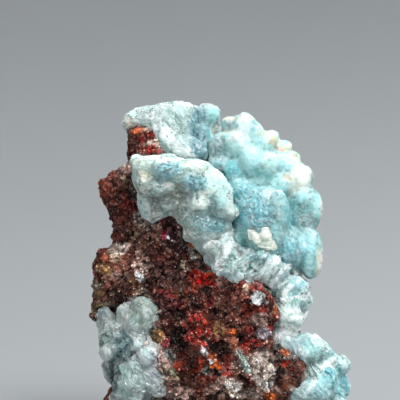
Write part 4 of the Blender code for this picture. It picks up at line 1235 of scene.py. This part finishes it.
def facet_group():
    """Flat crystal faces. Each cell's height is a random slope times the way from its middle. Also a random
    shade for each cell, and how near its edge lies."""
    name = "Crystal faces"
    if name in bpy.data.node_groups:
        return bpy.data.node_groups[name]
    tree, given, out = new_group(
        name,
        [("Place", "NodeSocketVector", None), ("Cells per metre", "NodeSocketFloat", 1500.0)],
        [("Height", "NodeSocketFloat"), ("Shade", "NodeSocketFloat"), ("Crease", "NodeSocketFloat")],
    )
    place = vector_math(tree, "SCALE", given["Place"], Scale=given["Cells per metre"])[0]
    cells = node(tree, "ShaderNodeTexVoronoi", Vector=place, Scale=1.0).outputs
    edges = node(tree, "ShaderNodeTexVoronoi", {"feature": "DISTANCE_TO_EDGE"}, Vector=place, Scale=1.0)
    slope = vector_math(tree, "SUBTRACT", cells["Color"], (0.5, 0.5, 0.5))[0]
    away = vector_math(tree, "SUBTRACT", place, cells["Position"])[0]
    tilt = vector_math(tree, "DOT_PRODUCT", slope, away)["Value"]
    shade = node(tree, "ShaderNodeSeparateColor", Color=cells["Color"]).outputs[0]
    height = math_node(tree, "ADD", tilt, math_node(tree, "MULTIPLY", shade, 0.4))
    link(tree, out["Height"], height)
    link(tree, out["Shade"], shade)
    link(tree, out["Crease"], ranged(tree, edges.outputs["Distance"], 0.0, 0.14, 1.0, 0.0))
    return tree


def speckle_and_crease_shade_group():
    """Lightens some cells at random, partly as pale crystal grains and partly as painted glints, darkens
    others, and darkens the creases between them as painted shade.
    """
    name = "Grain shades"
    if name in bpy.data.node_groups:
        return bpy.data.node_groups[name]
    tree, given, out = new_group(
        name,
        [
            ("Color", "NodeSocketColor", None),
            ("Shade", "NodeSocketFloat", 0.5),
            ("Crease", "NodeSocketFloat", 0.0),
            ("Light", "NodeSocketColor", (1.0, 1.0, 1.0, 1.0)),
            ("Dark", "NodeSocketColor", (0.0, 0.0, 0.0, 1.0)),
            ("Light share", "NodeSocketFloat", 0.1),
            ("Dark share", "NodeSocketFloat", 0.3),
            ("Strength", "NodeSocketFloat", 0.5),
        ],
        [("Color", "NodeSocketColor")],
    )
    above = math_node(tree, "SUBTRACT", 1.0, given["Light share"])
    from_shade = math_node(tree, "SUBTRACT", above, 0.06)
    light = ranged(tree, given["Shade"], from_shade, math_node(tree, "ADD", above, 0.02))
    to_shade = math_node(tree, "SUBTRACT", given["Dark share"], 0.12)
    dark = ranged(tree, given["Shade"], given["Dark share"], to_shade)
    # Painted shade: the creases between cells are darkened.
    dark = math_node(tree, "MAXIMUM", dark, given["Crease"])
    shown = given["Color"]
    for amount, over in ((dark, given["Dark"]), (light, given["Light"])):
        shown = mixed(tree, math_node(tree, "MULTIPLY", amount, given["Strength"]), shown, over)
    link(tree, out["Color"], shown)
    return tree


def mottle_group():
    """Drifts a colour lighter and darker in soft clouds of two sizes."""
    name = "Mineral clouds"
    if name in bpy.data.node_groups:
        return bpy.data.node_groups[name]
    tree, given, out = new_group(
        name,
        [
            ("Color", "NodeSocketColor", None),
            ("Place", "NodeSocketVector", None),
            ("Clouds per metre", "NodeSocketFloat", 300.0),
            ("Amount", "NodeSocketFloat", 0.3),
        ],
        [("Color", "NodeSocketColor")],
    )
    size = given["Clouds per metre"]
    clouds = node(tree, "ShaderNodeTexNoise", Vector=given["Place"], Scale=size, Detail=5.0, Roughness=0.65)
    cloud = ranged(tree, clouds.outputs[0], 0.3, 0.7, -1.0, 1.0)
    value = math_node(tree, "ADD", math_node(tree, "MULTIPLY", cloud, given["Amount"]), 1.0)
    shaded = node(tree, "ShaderNodeHueSaturation", Value=value, Color=given["Color"])
    link(tree, out["Color"], shaded.outputs[0])
    return tree


def placed(tree, group, **inputs):
    """Places a shader group and feeds its inputs by name."""
    made = tree.nodes.new("ShaderNodeGroup")
    made.node_tree = group
    for name, source in inputs.items():
        link(tree, made.inputs[name.replace("_", " ")], source)
    return made.outputs


def rgba(value):
    """A colour with full cover."""
    return (*value, 1.0)


def mineral(
    name, light, dark, cells=2600.0, shares=(0.08, 0.12), strength=0.35, clouds=450.0, cloud_amount=0.14,
    gloss=(0.6, 0.2), relief=0.1 * MM, glow=0.0, coat=0.0, specular=0.5,
):
    """A crystalline finish.

    Cells and clouds are counted per metre. Shares are how many cells are lightened, partly as painted glints,
    and darkened, and the creases between cells are darkened as painted shade. Gloss is the roughness of dull
    and of shining faces, relief is the facets' height in metres, and glow is how far light soaks in. The
    grain attribute scales the relief, the speckles and the painted shade."""
    material = bpy.data.materials.new(name)
    material.use_nodes = True
    tree = material.node_tree
    shader = tree.nodes["Principled BSDF"].inputs
    place = node(tree, "ShaderNodeTexCoord").outputs["Object"]
    tint = node(tree, "ShaderNodeAttribute", {"attribute_name": TINT}).outputs["Color"]
    grain = node(tree, "ShaderNodeAttribute", {"attribute_name": GRAIN}).outputs["Fac"]
    coarse = placed(tree, facet_group(), Place=place, Cells_per_metre=cells)
    small = placed(tree, facet_group(), Place=place, Cells_per_metre=cells * FINER_CELLS)
    shown = placed(
        tree, mottle_group(), Color=tint, Place=place, Clouds_per_metre=clouds, Amount=cloud_amount
    )
    for layer, share in ((coarse, 1.0), (small, FINER_SHARE)):
        shown = placed(
            tree, speckle_and_crease_shade_group(), Color=shown["Color"], Shade=layer["Shade"], Crease=layer["Crease"],
            Light=rgba(light), Dark=rgba(dark), Light_share=shares[0] * share, Dark_share=shares[1] * share,
            Strength=math_node(tree, "MULTIPLY", grain, strength * share),
        )
    height = math_node(tree, "MULTIPLY", small["Height"], 1 / FINER_CELLS)
    height = math_node(tree, "MULTIPLY", math_node(tree, "ADD", coarse["Height"], height), grain)
    bump = node(tree, "ShaderNodeBump", Strength=1.0, Distance=relief, Height=height)
    link(tree, shader["Base Color"], shown["Color"])
    link(tree, shader["Roughness"], ranged(tree, small["Shade"], *SHINING_SHADES, *gloss))
    link(tree, shader["Normal"], bump.outputs[0])
    shader["Specular IOR Level"].default_value = specular
    shader["Subsurface Weight"].default_value = glow
    shader["Subsurface Radius"].default_value = SOAK_COLOUR
    shader["Subsurface Scale"].default_value = SOAK_DEPTH
    shader["Coat Weight"].default_value = coat
    shader["Coat Roughness"].default_value = COAT_ROUGHNESS
    return material


def crust_finish(name, **changes):
    """The finish of a hemimorphite crust: translucent, finely crystalline and sparkling."""
    paint = palette()
    values = {"glow": 0.85, "coat": 0.1, "gloss": (0.5, 0.15), **changes}
    return mineral(name, paint["white"], paint["turquoise"] * CRUST_DARK, **values)


class Crust:
    """A crust's solid, its fine relief and how granular it is, worked out once from its lists.

    The solid is drawn in along rays that lean a way, from a core round the centre. Its lumps are shrunk, then
    its knobs, ridges and scoops are set on them. The relief has rounded bubbles where the front view doesn't
    show it, flat faces stretched along a way, and a rough wave."""

    def __init__(
        self, squares, seed, lumps, centre, blend, shrink, bubble, grain, core=(0, 0, 0), lean=(0, 0, 0),
        knobs=(), ridges=(), scoops=(), patches=(), edge=PATCH_EDGE, way=(0, 0, 1), times=1.0, rough=0.3,
    ):
        rays, self.faces, roots = cast(squares, centre, lean, core)
        self.blend = blend
        self.lumps = shrunk(lumps, shrink) + on_front(lumps, blend, [*knobs, *raised(ridges)])
        hollows = on_front(self.lumps, blend, scoops)
        points = draw_in(rays, roots, self.lumps, blend, hollows)
        normals = normals_of(points, self.faces)
        self.brush = Brush(points, normals, seed + BRUSH_SEED)
        self.granular = self.brush.granular(patches)
        hidden = 1 - CRUST_HIDDEN * self.brush.front
        seam = ease(*SEAM_SHADE_EDGE, melt(points, self.lumps, blend)[1])
        wandered = points + BUBBLE_WAY * drift(points, BUBBLE_WAVE, seed)
        bulge, crease = bubbles(wandered, *bubble, seed + BUBBLE_SEED)
        places = stretched(points, way, times)
        size, height = grain
        layers = [
            facets(places, size * part, height * tall, seed + FACET_SEED + FACET_SEED_STEP * step)
            for step, (part, tall) in enumerate(FACET_SCALES)
        ]
        facet = sum(lift for lift, _ in layers)
        self.shades = [shade for _, shade in layers]
        lift = rough * waves(points, CRUST_WAVE, seed)
        lift = lift + bulge * hidden + facet * (FACETS_LEAST + (1 - FACETS_LEAST) * self.granular)
        self.points = cut_flat(points + normals * lift[:, None], roots)
        self.seam = np.maximum(seam, crease * CREASE_SHADE_SHARE * hidden)
        self.seed, self.patches, self.edge, self.ridges = seed, patches, edge, ridges

    def coloured(self, paint, ground, deep, frost=0.35, tone=1.0, seam_shade_strength=0.25):
        """Each corner's tint.

        The deep colour drifts through the ground, the patches lie on both, painted shade darkens the seams
        between lumps, some faces are frosted and others clear, and the tone brightens or dims it all."""
        tint = np.broadcast_to(paint[ground], self.points.shape)
        tint = drifted(tint, self.points, [(deep, *DEEP_DRIFT, self.seed + DEEP_SEED)], 1.0, paint)
        tint = self.brush.paint(tint, self.patches, paint, self.edge)
        # Painted shade: the seams between lumps are darkened.
        tint = lay(tint, seam_shade_strength * self.seam, tint * SEAM_SHADE)
        frosted = sum(ease(*FROST_EDGE, shade) for shade in self.shades) / 2
        tint = lay(tint, frost * frosted, paint["white"])
        clear = sum(ease(*CLEAR_EDGE, shade) for shade in self.shades) / 2
        tint = lay(tint, frost * clear, tint * CLEAR_CAST)
        return tone * self.brush.streak(tint, self.ridges, paint)


def finish_piece(piece, name, material):
    """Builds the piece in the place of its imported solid."""
    made = piece.build(name + "_skin", material)
    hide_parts(name)


def grow_crust(name, share, seed, shape, look, finish, blades=(), grain=(), smooth=False):
    """Grows a crust, colours it and builds it.

    Share is how finely it is divided, next to the setting, and grain is how many fine grains lie on it and
    their width."""
    paint = palette()
    crust = Crust(int(share * bpy.context.scene.specimen_sizes.crust_squares), seed, **shape)
    tint = crust.coloured(paint, **look)
    piece = Piece()
    granular = CRUST_GRAIN + (1 - CRUST_GRAIN) * crust.granular
    piece.add(crust.points, crust.faces, tint, granular, smooth)
    if blades:
        add_blades(piece, blades, crust.lumps, crust.blend, paint)
    if grain:
        host = (crust.points, crust.faces, tint)
        sugar(piece, host, SUGAR_ELSEWHERE + crust.granular, *grain, np.random.default_rng(seed))
    finish_piece(piece, name, finish)


class SPECIMEN_OT_matrix(bpy.types.Operator):
    """Grows the lump of gossan that carries the crusts"""

    bl_idname = "specimen.matrix"
    bl_label = "Matrix"

    def execute(self, context):
        sizes, paint = context.scene.specimen_sizes, palette()
        points, faces, tint = self.grow(sizes.matrix_squares, paint)
        piece = Piece()
        piece.add(points, faces, tint, 1.0, False)
        finish = mineral(
            "gossan", paint["grey_red"], paint["black_brown"], cells=1900.0, shares=(0.10, 0.25),
            strength=0.5, clouds=500.0, cloud_amount=0.25, gloss=(0.85, 0.4), relief=0.16 * MM, specular=0.15,
        )
        finish_piece(piece, "matrix", finish)

        count, random = sizes.grains, np.random.default_rng(LOOSE_SEED)
        places, ways, under = scatter(points, faces, tint, count, random)
        pale = random.random(count) ** PALE_RARITY
        widths = sizes.grain_size / MM * random.uniform(*LOOSE_WIDTHS, count) * (1 - PALE_SMALLER * pale)
        shapes = grains(places, ways, widths, random)
        # Painted glints in part: a few grains on bright ground are laid pale.
        pale *= PALE_STRENGTH * ease(*PALE_EDGE, under.mean(axis=1))
        colours = lay(under * random.uniform(*LOOSE_SHADES, (count, 1)), pale, paint["rose_white"])
        loose = Piece()
        loose.add(*shapes, np.repeat(colours, 6, axis=0), LOOSE_GRAIN, False)
        sparkle = mineral(
            "gossan_grains", paint["white"], paint["black_brown"], cells=3000.0, shares=(0.05, 0.12),
            strength=0.4, clouds=900.0, cloud_amount=0.2, gloss=(0.6, 0.12), relief=0.03 * MM, specular=0.3,
        )
        made = loose.build("matrix_grains", sparkle)
        return {"FINISHED"}

    def grow(self, squares, paint):
        """The matrix's corners, triangles and tints."""
        rays, faces, roots = cast(squares, MATRIX_CENTRE, MATRIX_LEAN, MATRIX_CORE)
        details = MATRIX_KNOBS + raised(MATRIX_RIDGES)
        lumps = MATRIX_LUMPS + MATRIX_INFILL + on_front(MATRIX_LUMPS, MATRIX_DETAIL_BLEND, details)
        hollows = MATRIX_HOLLOWS + on_front(lumps, MATRIX_DETAIL_BLEND, MATRIX_PITS)
        points = draw_in(rays, roots, lumps, MATRIX_BLEND, hollows)
        normals = normals_of(points, faces)
        brush = Brush(points, normals, MATRIX_SEED)
        hidden = 1 - MATRIX_HIDDEN * brush.front
        swell = hidden * sum(height * waves(points, size, seed) for size, height, seed in MATRIX_SWELLS)
        size, way, seed = MATRIX_CLUMPS_WANDER
        clump, gap = bubbles(points + way * drift(points, size, seed), *MATRIX_CLUMPS)
        facet, shade = facets(points, *MATRIX_FACES)
        fine, fine_shade = facets(points, *MATRIX_FINE_FACES)
        size, height, seed = MATRIX_WAVE
        lift = swell + height * waves(points, size, seed) + clump - MATRIX_CLUMPS_LOWER + facet + fine
        points = cut_flat(points + normals * lift[:, None], roots)

        tint = np.broadcast_to(paint["rust"], points.shape)
        tint = drifted(tint, points, MATRIX_DRIFTS, 1.0, paint)
        tint = drifted(tint, points, MATRIX_HIDDEN_DRIFTS, hidden, paint)
        near = melt(points, CRUST_LUMPS, RIM_BLEND)[0]
        for size, height, seed in RIM_WAVES:
            near = near + height * waves(points, size, seed)
        tint = lay(tint, RIM_STRENGTH * ease(*RIM_EDGE, near), paint["ice_grey"])
        tint = brush.paint(tint, MATRIX_PATCHES, paint)
        tint = brush.streak(tint, MATRIX_RIDGES, paint)
        tint = MATRIX_BRIGHT * tint**MATRIX_DEPTH
        for (least, part), shades in ((MATRIX_FACE_SHADES, shade), (MATRIX_FINE_SHADES, fine_shade)):
            tint = tint * (least + part * shades[:, None])
        # Painted shade: the hollows and the creases between clumps are darkened towards black brown.
        low = ease(*HOLLOW_SHADE_EDGE, clump - HOLLOW_SHADE_BELOW + facet + fine)
        dark = HOLLOW_SHADE_STRENGTH * np.maximum(low, CREASE_SHADE_STRENGTH * ease(*CREASE_SHADE_EDGE, gap))
        return points, faces, lay(tint, dark, paint["black_brown"])


class SPECIMEN_OT_dome(bpy.types.Operator):
    """Grows the blue knobbed crust at the upper right"""

    bl_idname = "specimen.dome"
    bl_label = "Right dome"

    def execute(self, context):
        shape = dict(
            lumps=DOME_LUMPS + DOME_INFILL, centre=(10.5, -1.0, 56.0), core=(3, 1, 6), lean=FORWARD,
            blend=0.57, shrink=0.45, knobs=DOME_KNOBS, scoops=DOME_SCOOPS, patches=DOME_PATCHES,
            edge=(1.5, 0.5), bubble=(4.2, 1.0), grain=(0.7, 0.12),
        )
        look = dict(ground="aqua", deep="pale_aqua", frost=0.3, seam_shade_strength=0.4)
        finish = crust_finish("blue_crust", relief=0.09 * MM, strength=0.3)
        grow_crust("right_dome", 1.3, 2, shape, look, finish, grain=(6500, 0.26), smooth=True)
        return {"FINISHED"}


class SPECIMEN_OT_lobe(bpy.types.Operator):
    """Grows the pale lobe at the front"""

    bl_idname = "specimen.lobe"
    bl_label = "Front lobe"

    def execute(self, context):
        shape = dict(
            lumps=LOBE_LUMPS, centre=(-6.0, -8.0, 56.5), core=(4, 0.5, 3), lean=FORWARD, blend=0.5,
            shrink=0.4, knobs=LOBE_KNOBS, scoops=LOBE_SCOOPS, patches=LOBE_PATCHES, bubble=(2.2, 0.4),
            grain=(1.1, 0.22), rough=0.4,
        )
        look = dict(ground="mint_grey", deep="mint", frost=0.28, tone=1.1)
        finish = crust_finish("pale_crust", relief=0.09 * MM)
        grow_crust("front_lobe", 1.08, 3, shape, look, finish, grain=(3500, 0.28))
        return {"FINISHED"}


class SPECIMEN_OT_top(bpy.types.Operator):
    """Grows the pale crust on the top"""

    bl_idname = "specimen.top"
    bl_label = "Top crust"

    def execute(self, context):
        shape = dict(
            lumps=TOP_LUMPS, centre=(-6.5, 3.0, 70.0), core=(4, 1, 0.5), blend=0.8, shrink=0.4,
            knobs=TOP_KNOBS, patches=TOP_PATCHES, bubble=(1.6, 0.3), grain=(1.0, 0.35),
            way=(0.5, -0.2, -0.85), times=2.0, rough=0.5,
        )
        look = dict(ground="grey_white", deep="mint", frost=0.3, tone=0.9)
        finish = crust_finish("top_crust_white", relief=0.08 * MM)
        grow_crust("top_crust", 0.8, 4, shape, look, finish, grain=(1500, 0.28))
        return {"FINISHED"}


class SPECIMEN_OT_throat(bpy.types.Operator):
    """Grows the white crystals under the dome"""

    bl_idname = "specimen.throat"
    bl_label = "Throat crystals"

    def execute(self, context):
        shape = dict(
            lumps=flattened(THROAT_LUMPS + THROAT_INFILL, 0.7), centre=(9.5, -5.5, 38.0), core=(4, 0.8, 3),
            lean=FORWARD, blend=0.45, shrink=0.35, knobs=THROAT_KNOBS, ridges=THROAT_RIDGES,
            patches=THROAT_PATCHES, bubble=(1.7, 0.35), grain=(1.0, 0.45), way=(-0.55, -0.2, -0.8), times=2.0,
            rough=0.8,
        )
        look = dict(ground="grey_white", deep="ice_grey", frost=0.45, tone=0.93)
        finish = crust_finish("throat_white", cells=1800.0)
        grow_crust("throat_crystals", 0.85, 5, shape, look, finish, THROAT_BLADES, (1000, 0.3))
        return {"FINISHED"}


class SPECIMEN_OT_feet(bpy.types.Operator):
    """Grows the crusts at the left and right foot"""

    bl_idname = "specimen.feet"
    bl_label = "Foot crusts"

    def execute(self, context):
        shape = dict(
            lumps=flattened(LEFT_FOOT_LUMPS, 0.6), centre=(-20.5, -6.5, 20.0), core=(1.5, 1, 6), blend=0.45,
            shrink=0.35, knobs=LEFT_FOOT_KNOBS, ridges=LEFT_FOOT_RIDGES, patches=LEFT_FOOT_PATCHES,
            bubble=(1.9, 0.35), grain=(1.3, 0.5), way=(0.3, -0.3, -0.9), times=1.3, rough=0.8,
        )
        # Its dimmer tone is partly its own darker colour and partly painted shade, as the left side lies away
        # from the lamps.
        look = dict(ground="ice_grey", deep="grey_green", frost=0.4, tone=0.78)
        finish = crust_finish("left_foot_green", cells=1700.0, coat=0.3, glow=0.6)
        grow_crust("left_foot_crust", 0.9, 6, shape, look, finish, LEFT_FOOT_BLADES, (1000, 0.3))

        shape = dict(
            lumps=flattened(RIGHT_FOOT_LUMPS, 0.85), centre=(21.5, -4.0, 14.0), core=(2.5, 1, 5), blend=0.45,
            shrink=0.35, knobs=RIGHT_FOOT_KNOBS, ridges=RIGHT_FOOT_RIDGES, patches=RIGHT_FOOT_PATCHES,
            bubble=(1.9, 0.35), grain=(0.9, 0.4), way=(0.6, -0.3, -0.75), times=3.0, rough=0.6,
        )
        look = dict(ground="grey_white", deep="pale_aqua", frost=0.35, tone=0.94)
        finish = crust_finish("right_foot_aqua", cells=1800.0)
        grow_crust("right_foot_crust", 0.85, 7, shape, look, finish, grain=(1000, 0.3))
        return {"FINISHED"}


class SPECIMEN_OT_heart(bpy.types.Operator):
    """Sets the cream crystal that is perched on the dome"""

    bl_idname = "specimen.heart"
    bl_label = "Perched crystal"

    def execute(self, context):
        lumps = on_front(DOME_LUMPS, 0.4, HEART_KNOBS)
        middle = np.mean([lump[:3] for lump in lumps], axis=0)
        shape = dict(lumps=lumps, centre=middle, blend=0.25, shrink=0.0, bubble=(1.5, 0.1), grain=(2.2, 0.7))
        look = dict(ground="cream_white", deep="cream_yellow")
        finish = crust_finish("perched_cream", strength=0.15, cells=1800.0)
        grow_crust("perched_crystal", 0.24, 8, shape, look, finish)
        return {"FINISHED"}


class SPECIMEN_OT_stage(bpy.types.Operator):
    """Sets the backdrop, the lamps and the camera"""

    bl_idname = "specimen.stage"
    bl_label = "Stage"

    def execute(self, context):
        stage, scene = context.scene.specimen_stage, context.scene
        backdrop = sweep(stage.backdrop)

        target = Vector(VIEW_TARGET - MIDDLE) * MM
        back = Vector((0, -np.cos(stage.elevation), np.sin(stage.elevation)))
        lens = bpy.data.cameras.new("camera")
        lens.sensor_width = SENSOR_WIDTH
        lens.lens = SENSOR_WIDTH * stage.distance / stage.width
        lens.clip_start, lens.clip_end = CLIPPING
        camera = bpy.data.objects.new("camera", lens)
        camera.location = target + back * stage.distance
        camera.rotation_mode = "QUATERNION"
        camera.rotation_quaternion = (-back).to_track_quat("-Z", "Y")
        scene.collection.objects.link(camera)
        scene.camera = camera

        for name, place, target, size in LAMPS:
            lamp(name, place, target, size, getattr(stage, name + "_power"))
        world = bpy.data.worlds.new("room")
        world.use_nodes = True
        room = world.node_tree.nodes["Background"].inputs
        room["Color"].default_value = rgba(ROOM_COLOUR)
        room["Strength"].default_value = ROOM_STRENGTH
        scene.world = world
        scene.view_settings.view_transform = "Standard"
        return {"FINISHED"}


def lamp(name, place, target, size, power):
    """A square lamp that looks at the target."""
    light = bpy.data.lights.new(name, "AREA")
    light.size = size
    light.energy = power
    made = bpy.data.objects.new(name, light)
    made.location = place
    made.rotation_mode = "QUATERNION"
    made.rotation_quaternion = (Vector(target) - Vector(place)).to_track_quat("-Z", "Y")
    bpy.context.scene.collection.objects.link(made)


def sweep(tone):
    """A round sheet that is flat under the specimen and rises in a quarter circle to a wall all round.

    With u along the profile and v round it, a point is r(u) cos v, r(u) sin v, h(u)."""
    turn = np.linspace(0, np.pi / 2, BEND_STEPS)
    bend, rise = BACKDROP_BEND * np.sin(turn), BACKDROP_BEND * (1 - np.cos(turn))
    flat = [0.0005, BACKDROP_FLAT * 0.3, BACKDROP_FLAT * 0.7]
    wall = BACKDROP_BEND + BACKDROP_WALL * np.array([0.3, 0.6, 1.0])
    reach = np.concatenate([flat, BACKDROP_FLAT + bend, [BACKDROP_FLAT + BACKDROP_BEND] * len(wall)])
    height = np.concatenate([np.zeros(len(flat)), rise, wall])
    around = np.linspace(0, 2 * np.pi, RING_POINTS, endpoint=False)
    sides = [np.outer(reach, np.cos(around)), np.outer(reach, np.sin(around))]
    points = np.stack([*sides, np.outer(height, np.ones(RING_POINTS))], axis=2).reshape(-1, 3)
    index = np.arange(len(points)).reshape(-1, RING_POINTS)
    after = np.roll(index, -1, axis=1)
    faces = np.stack([index[:-1], after[:-1], after[1:], index[1:]], axis=-1).reshape(-1, 4)[:, ::-1]
    mesh = bpy.data.meshes.new("backdrop")
    mesh.from_pydata(points.tolist(), [], [*faces.tolist(), index[0].tolist()])
    mesh.shade_smooth()
    material = bpy.data.materials.new("backdrop")
    material.use_nodes = True
    tree = material.node_tree
    shader = tree.nodes["Principled BSDF"]
    place = node(tree, "ShaderNodeTexCoord").outputs["Object"]
    grain = node(tree, "ShaderNodeTexNoise", Vector=place, Scale=3.0, Detail=2.0)
    out = vector_math(tree, "LENGTH", place)["Value"]
    parts = node(tree, "ShaderNodeSeparateXYZ", Vector=place).outputs
    # Painted shade: the backdrop is darker towards its middle, round the specimen, and on its left side.
    painted_shade_near_middle = ranged(tree, out, 0.05, 0.9, 0.62, 1.0)
    painted_shade_on_left = ranged(tree, parts["X"], -0.25, 0.25, 0.95, 1.05)
    value = math_node(tree, "MULTIPLY", painted_shade_near_middle, painted_shade_on_left)
    value = math_node(tree, "MULTIPLY", value, ranged(tree, grain.outputs[0], 0.3, 0.7, 0.98, 1.02))
    shaded = node(tree, "ShaderNodeHueSaturation", Value=value, Color=rgba(tone))
    link(tree, shader.inputs["Base Color"], shaded.outputs[0])
    shader.inputs["Roughness"].default_value = 0.9
    shader.inputs["Specular IOR Level"].default_value = 0.1
    mesh.materials.append(material)
    made = bpy.data.objects.new("backdrop", mesh)
    bpy.context.scene.collection.objects.link(made)
    return made


class SPECIMEN_PT_panel(bpy.types.Panel):
    """Lists the settings and the steps"""

    bl_idname = "SPECIMEN_PT_panel"
    bl_label = "Specimen"
    bl_space_type = "VIEW_3D"
    bl_region_type = "UI"
    bl_category = "Specimen"

    def draw(self, context):
        for group in SETTINGS:
            box = self.layout.box()
            for name in SETTINGS[group].__annotations__:
                box.prop(getattr(context.scene, group), name)
        for step in OPERATORS:
            self.layout.operator(step.bl_idname)


SETTINGS = {
    "specimen_colours": SpecimenColours,
    "specimen_sizes": SpecimenSizes,
    "specimen_stage": SpecimenStage,
}
OPERATORS = (
    SPECIMEN_OT_matrix,
    SPECIMEN_OT_dome,
    SPECIMEN_OT_lobe,
    SPECIMEN_OT_top,
    SPECIMEN_OT_throat,
    SPECIMEN_OT_feet,
    SPECIMEN_OT_heart,
    SPECIMEN_OT_stage,
)
CLASSES = (*SETTINGS.values(), *OPERATORS, SPECIMEN_PT_panel)


def register():
    """Adds the settings, the steps and the panel."""
    for kind in CLASSES:
        bpy.utils.register_class(kind)
    for name, kind in SETTINGS.items():
        setattr(bpy.types.Scene, name, bpy.props.PointerProperty(type=kind))


def unregister():
    """Takes them away again."""
    for name in SETTINGS:
        delattr(bpy.types.Scene, name)
    for kind in reversed(CLASSES):
        bpy.utils.unregister_class(kind)


def main():
    """Makes every piece in order."""
    register()
    bpy.ops.specimen.matrix()
    bpy.ops.specimen.dome()
    bpy.ops.specimen.lobe()
    bpy.ops.specimen.top()
    bpy.ops.specimen.throat()
    bpy.ops.specimen.feet()
    bpy.ops.specimen.heart()
    bpy.ops.specimen.stage()


if __name__ == "__main__":
    main()
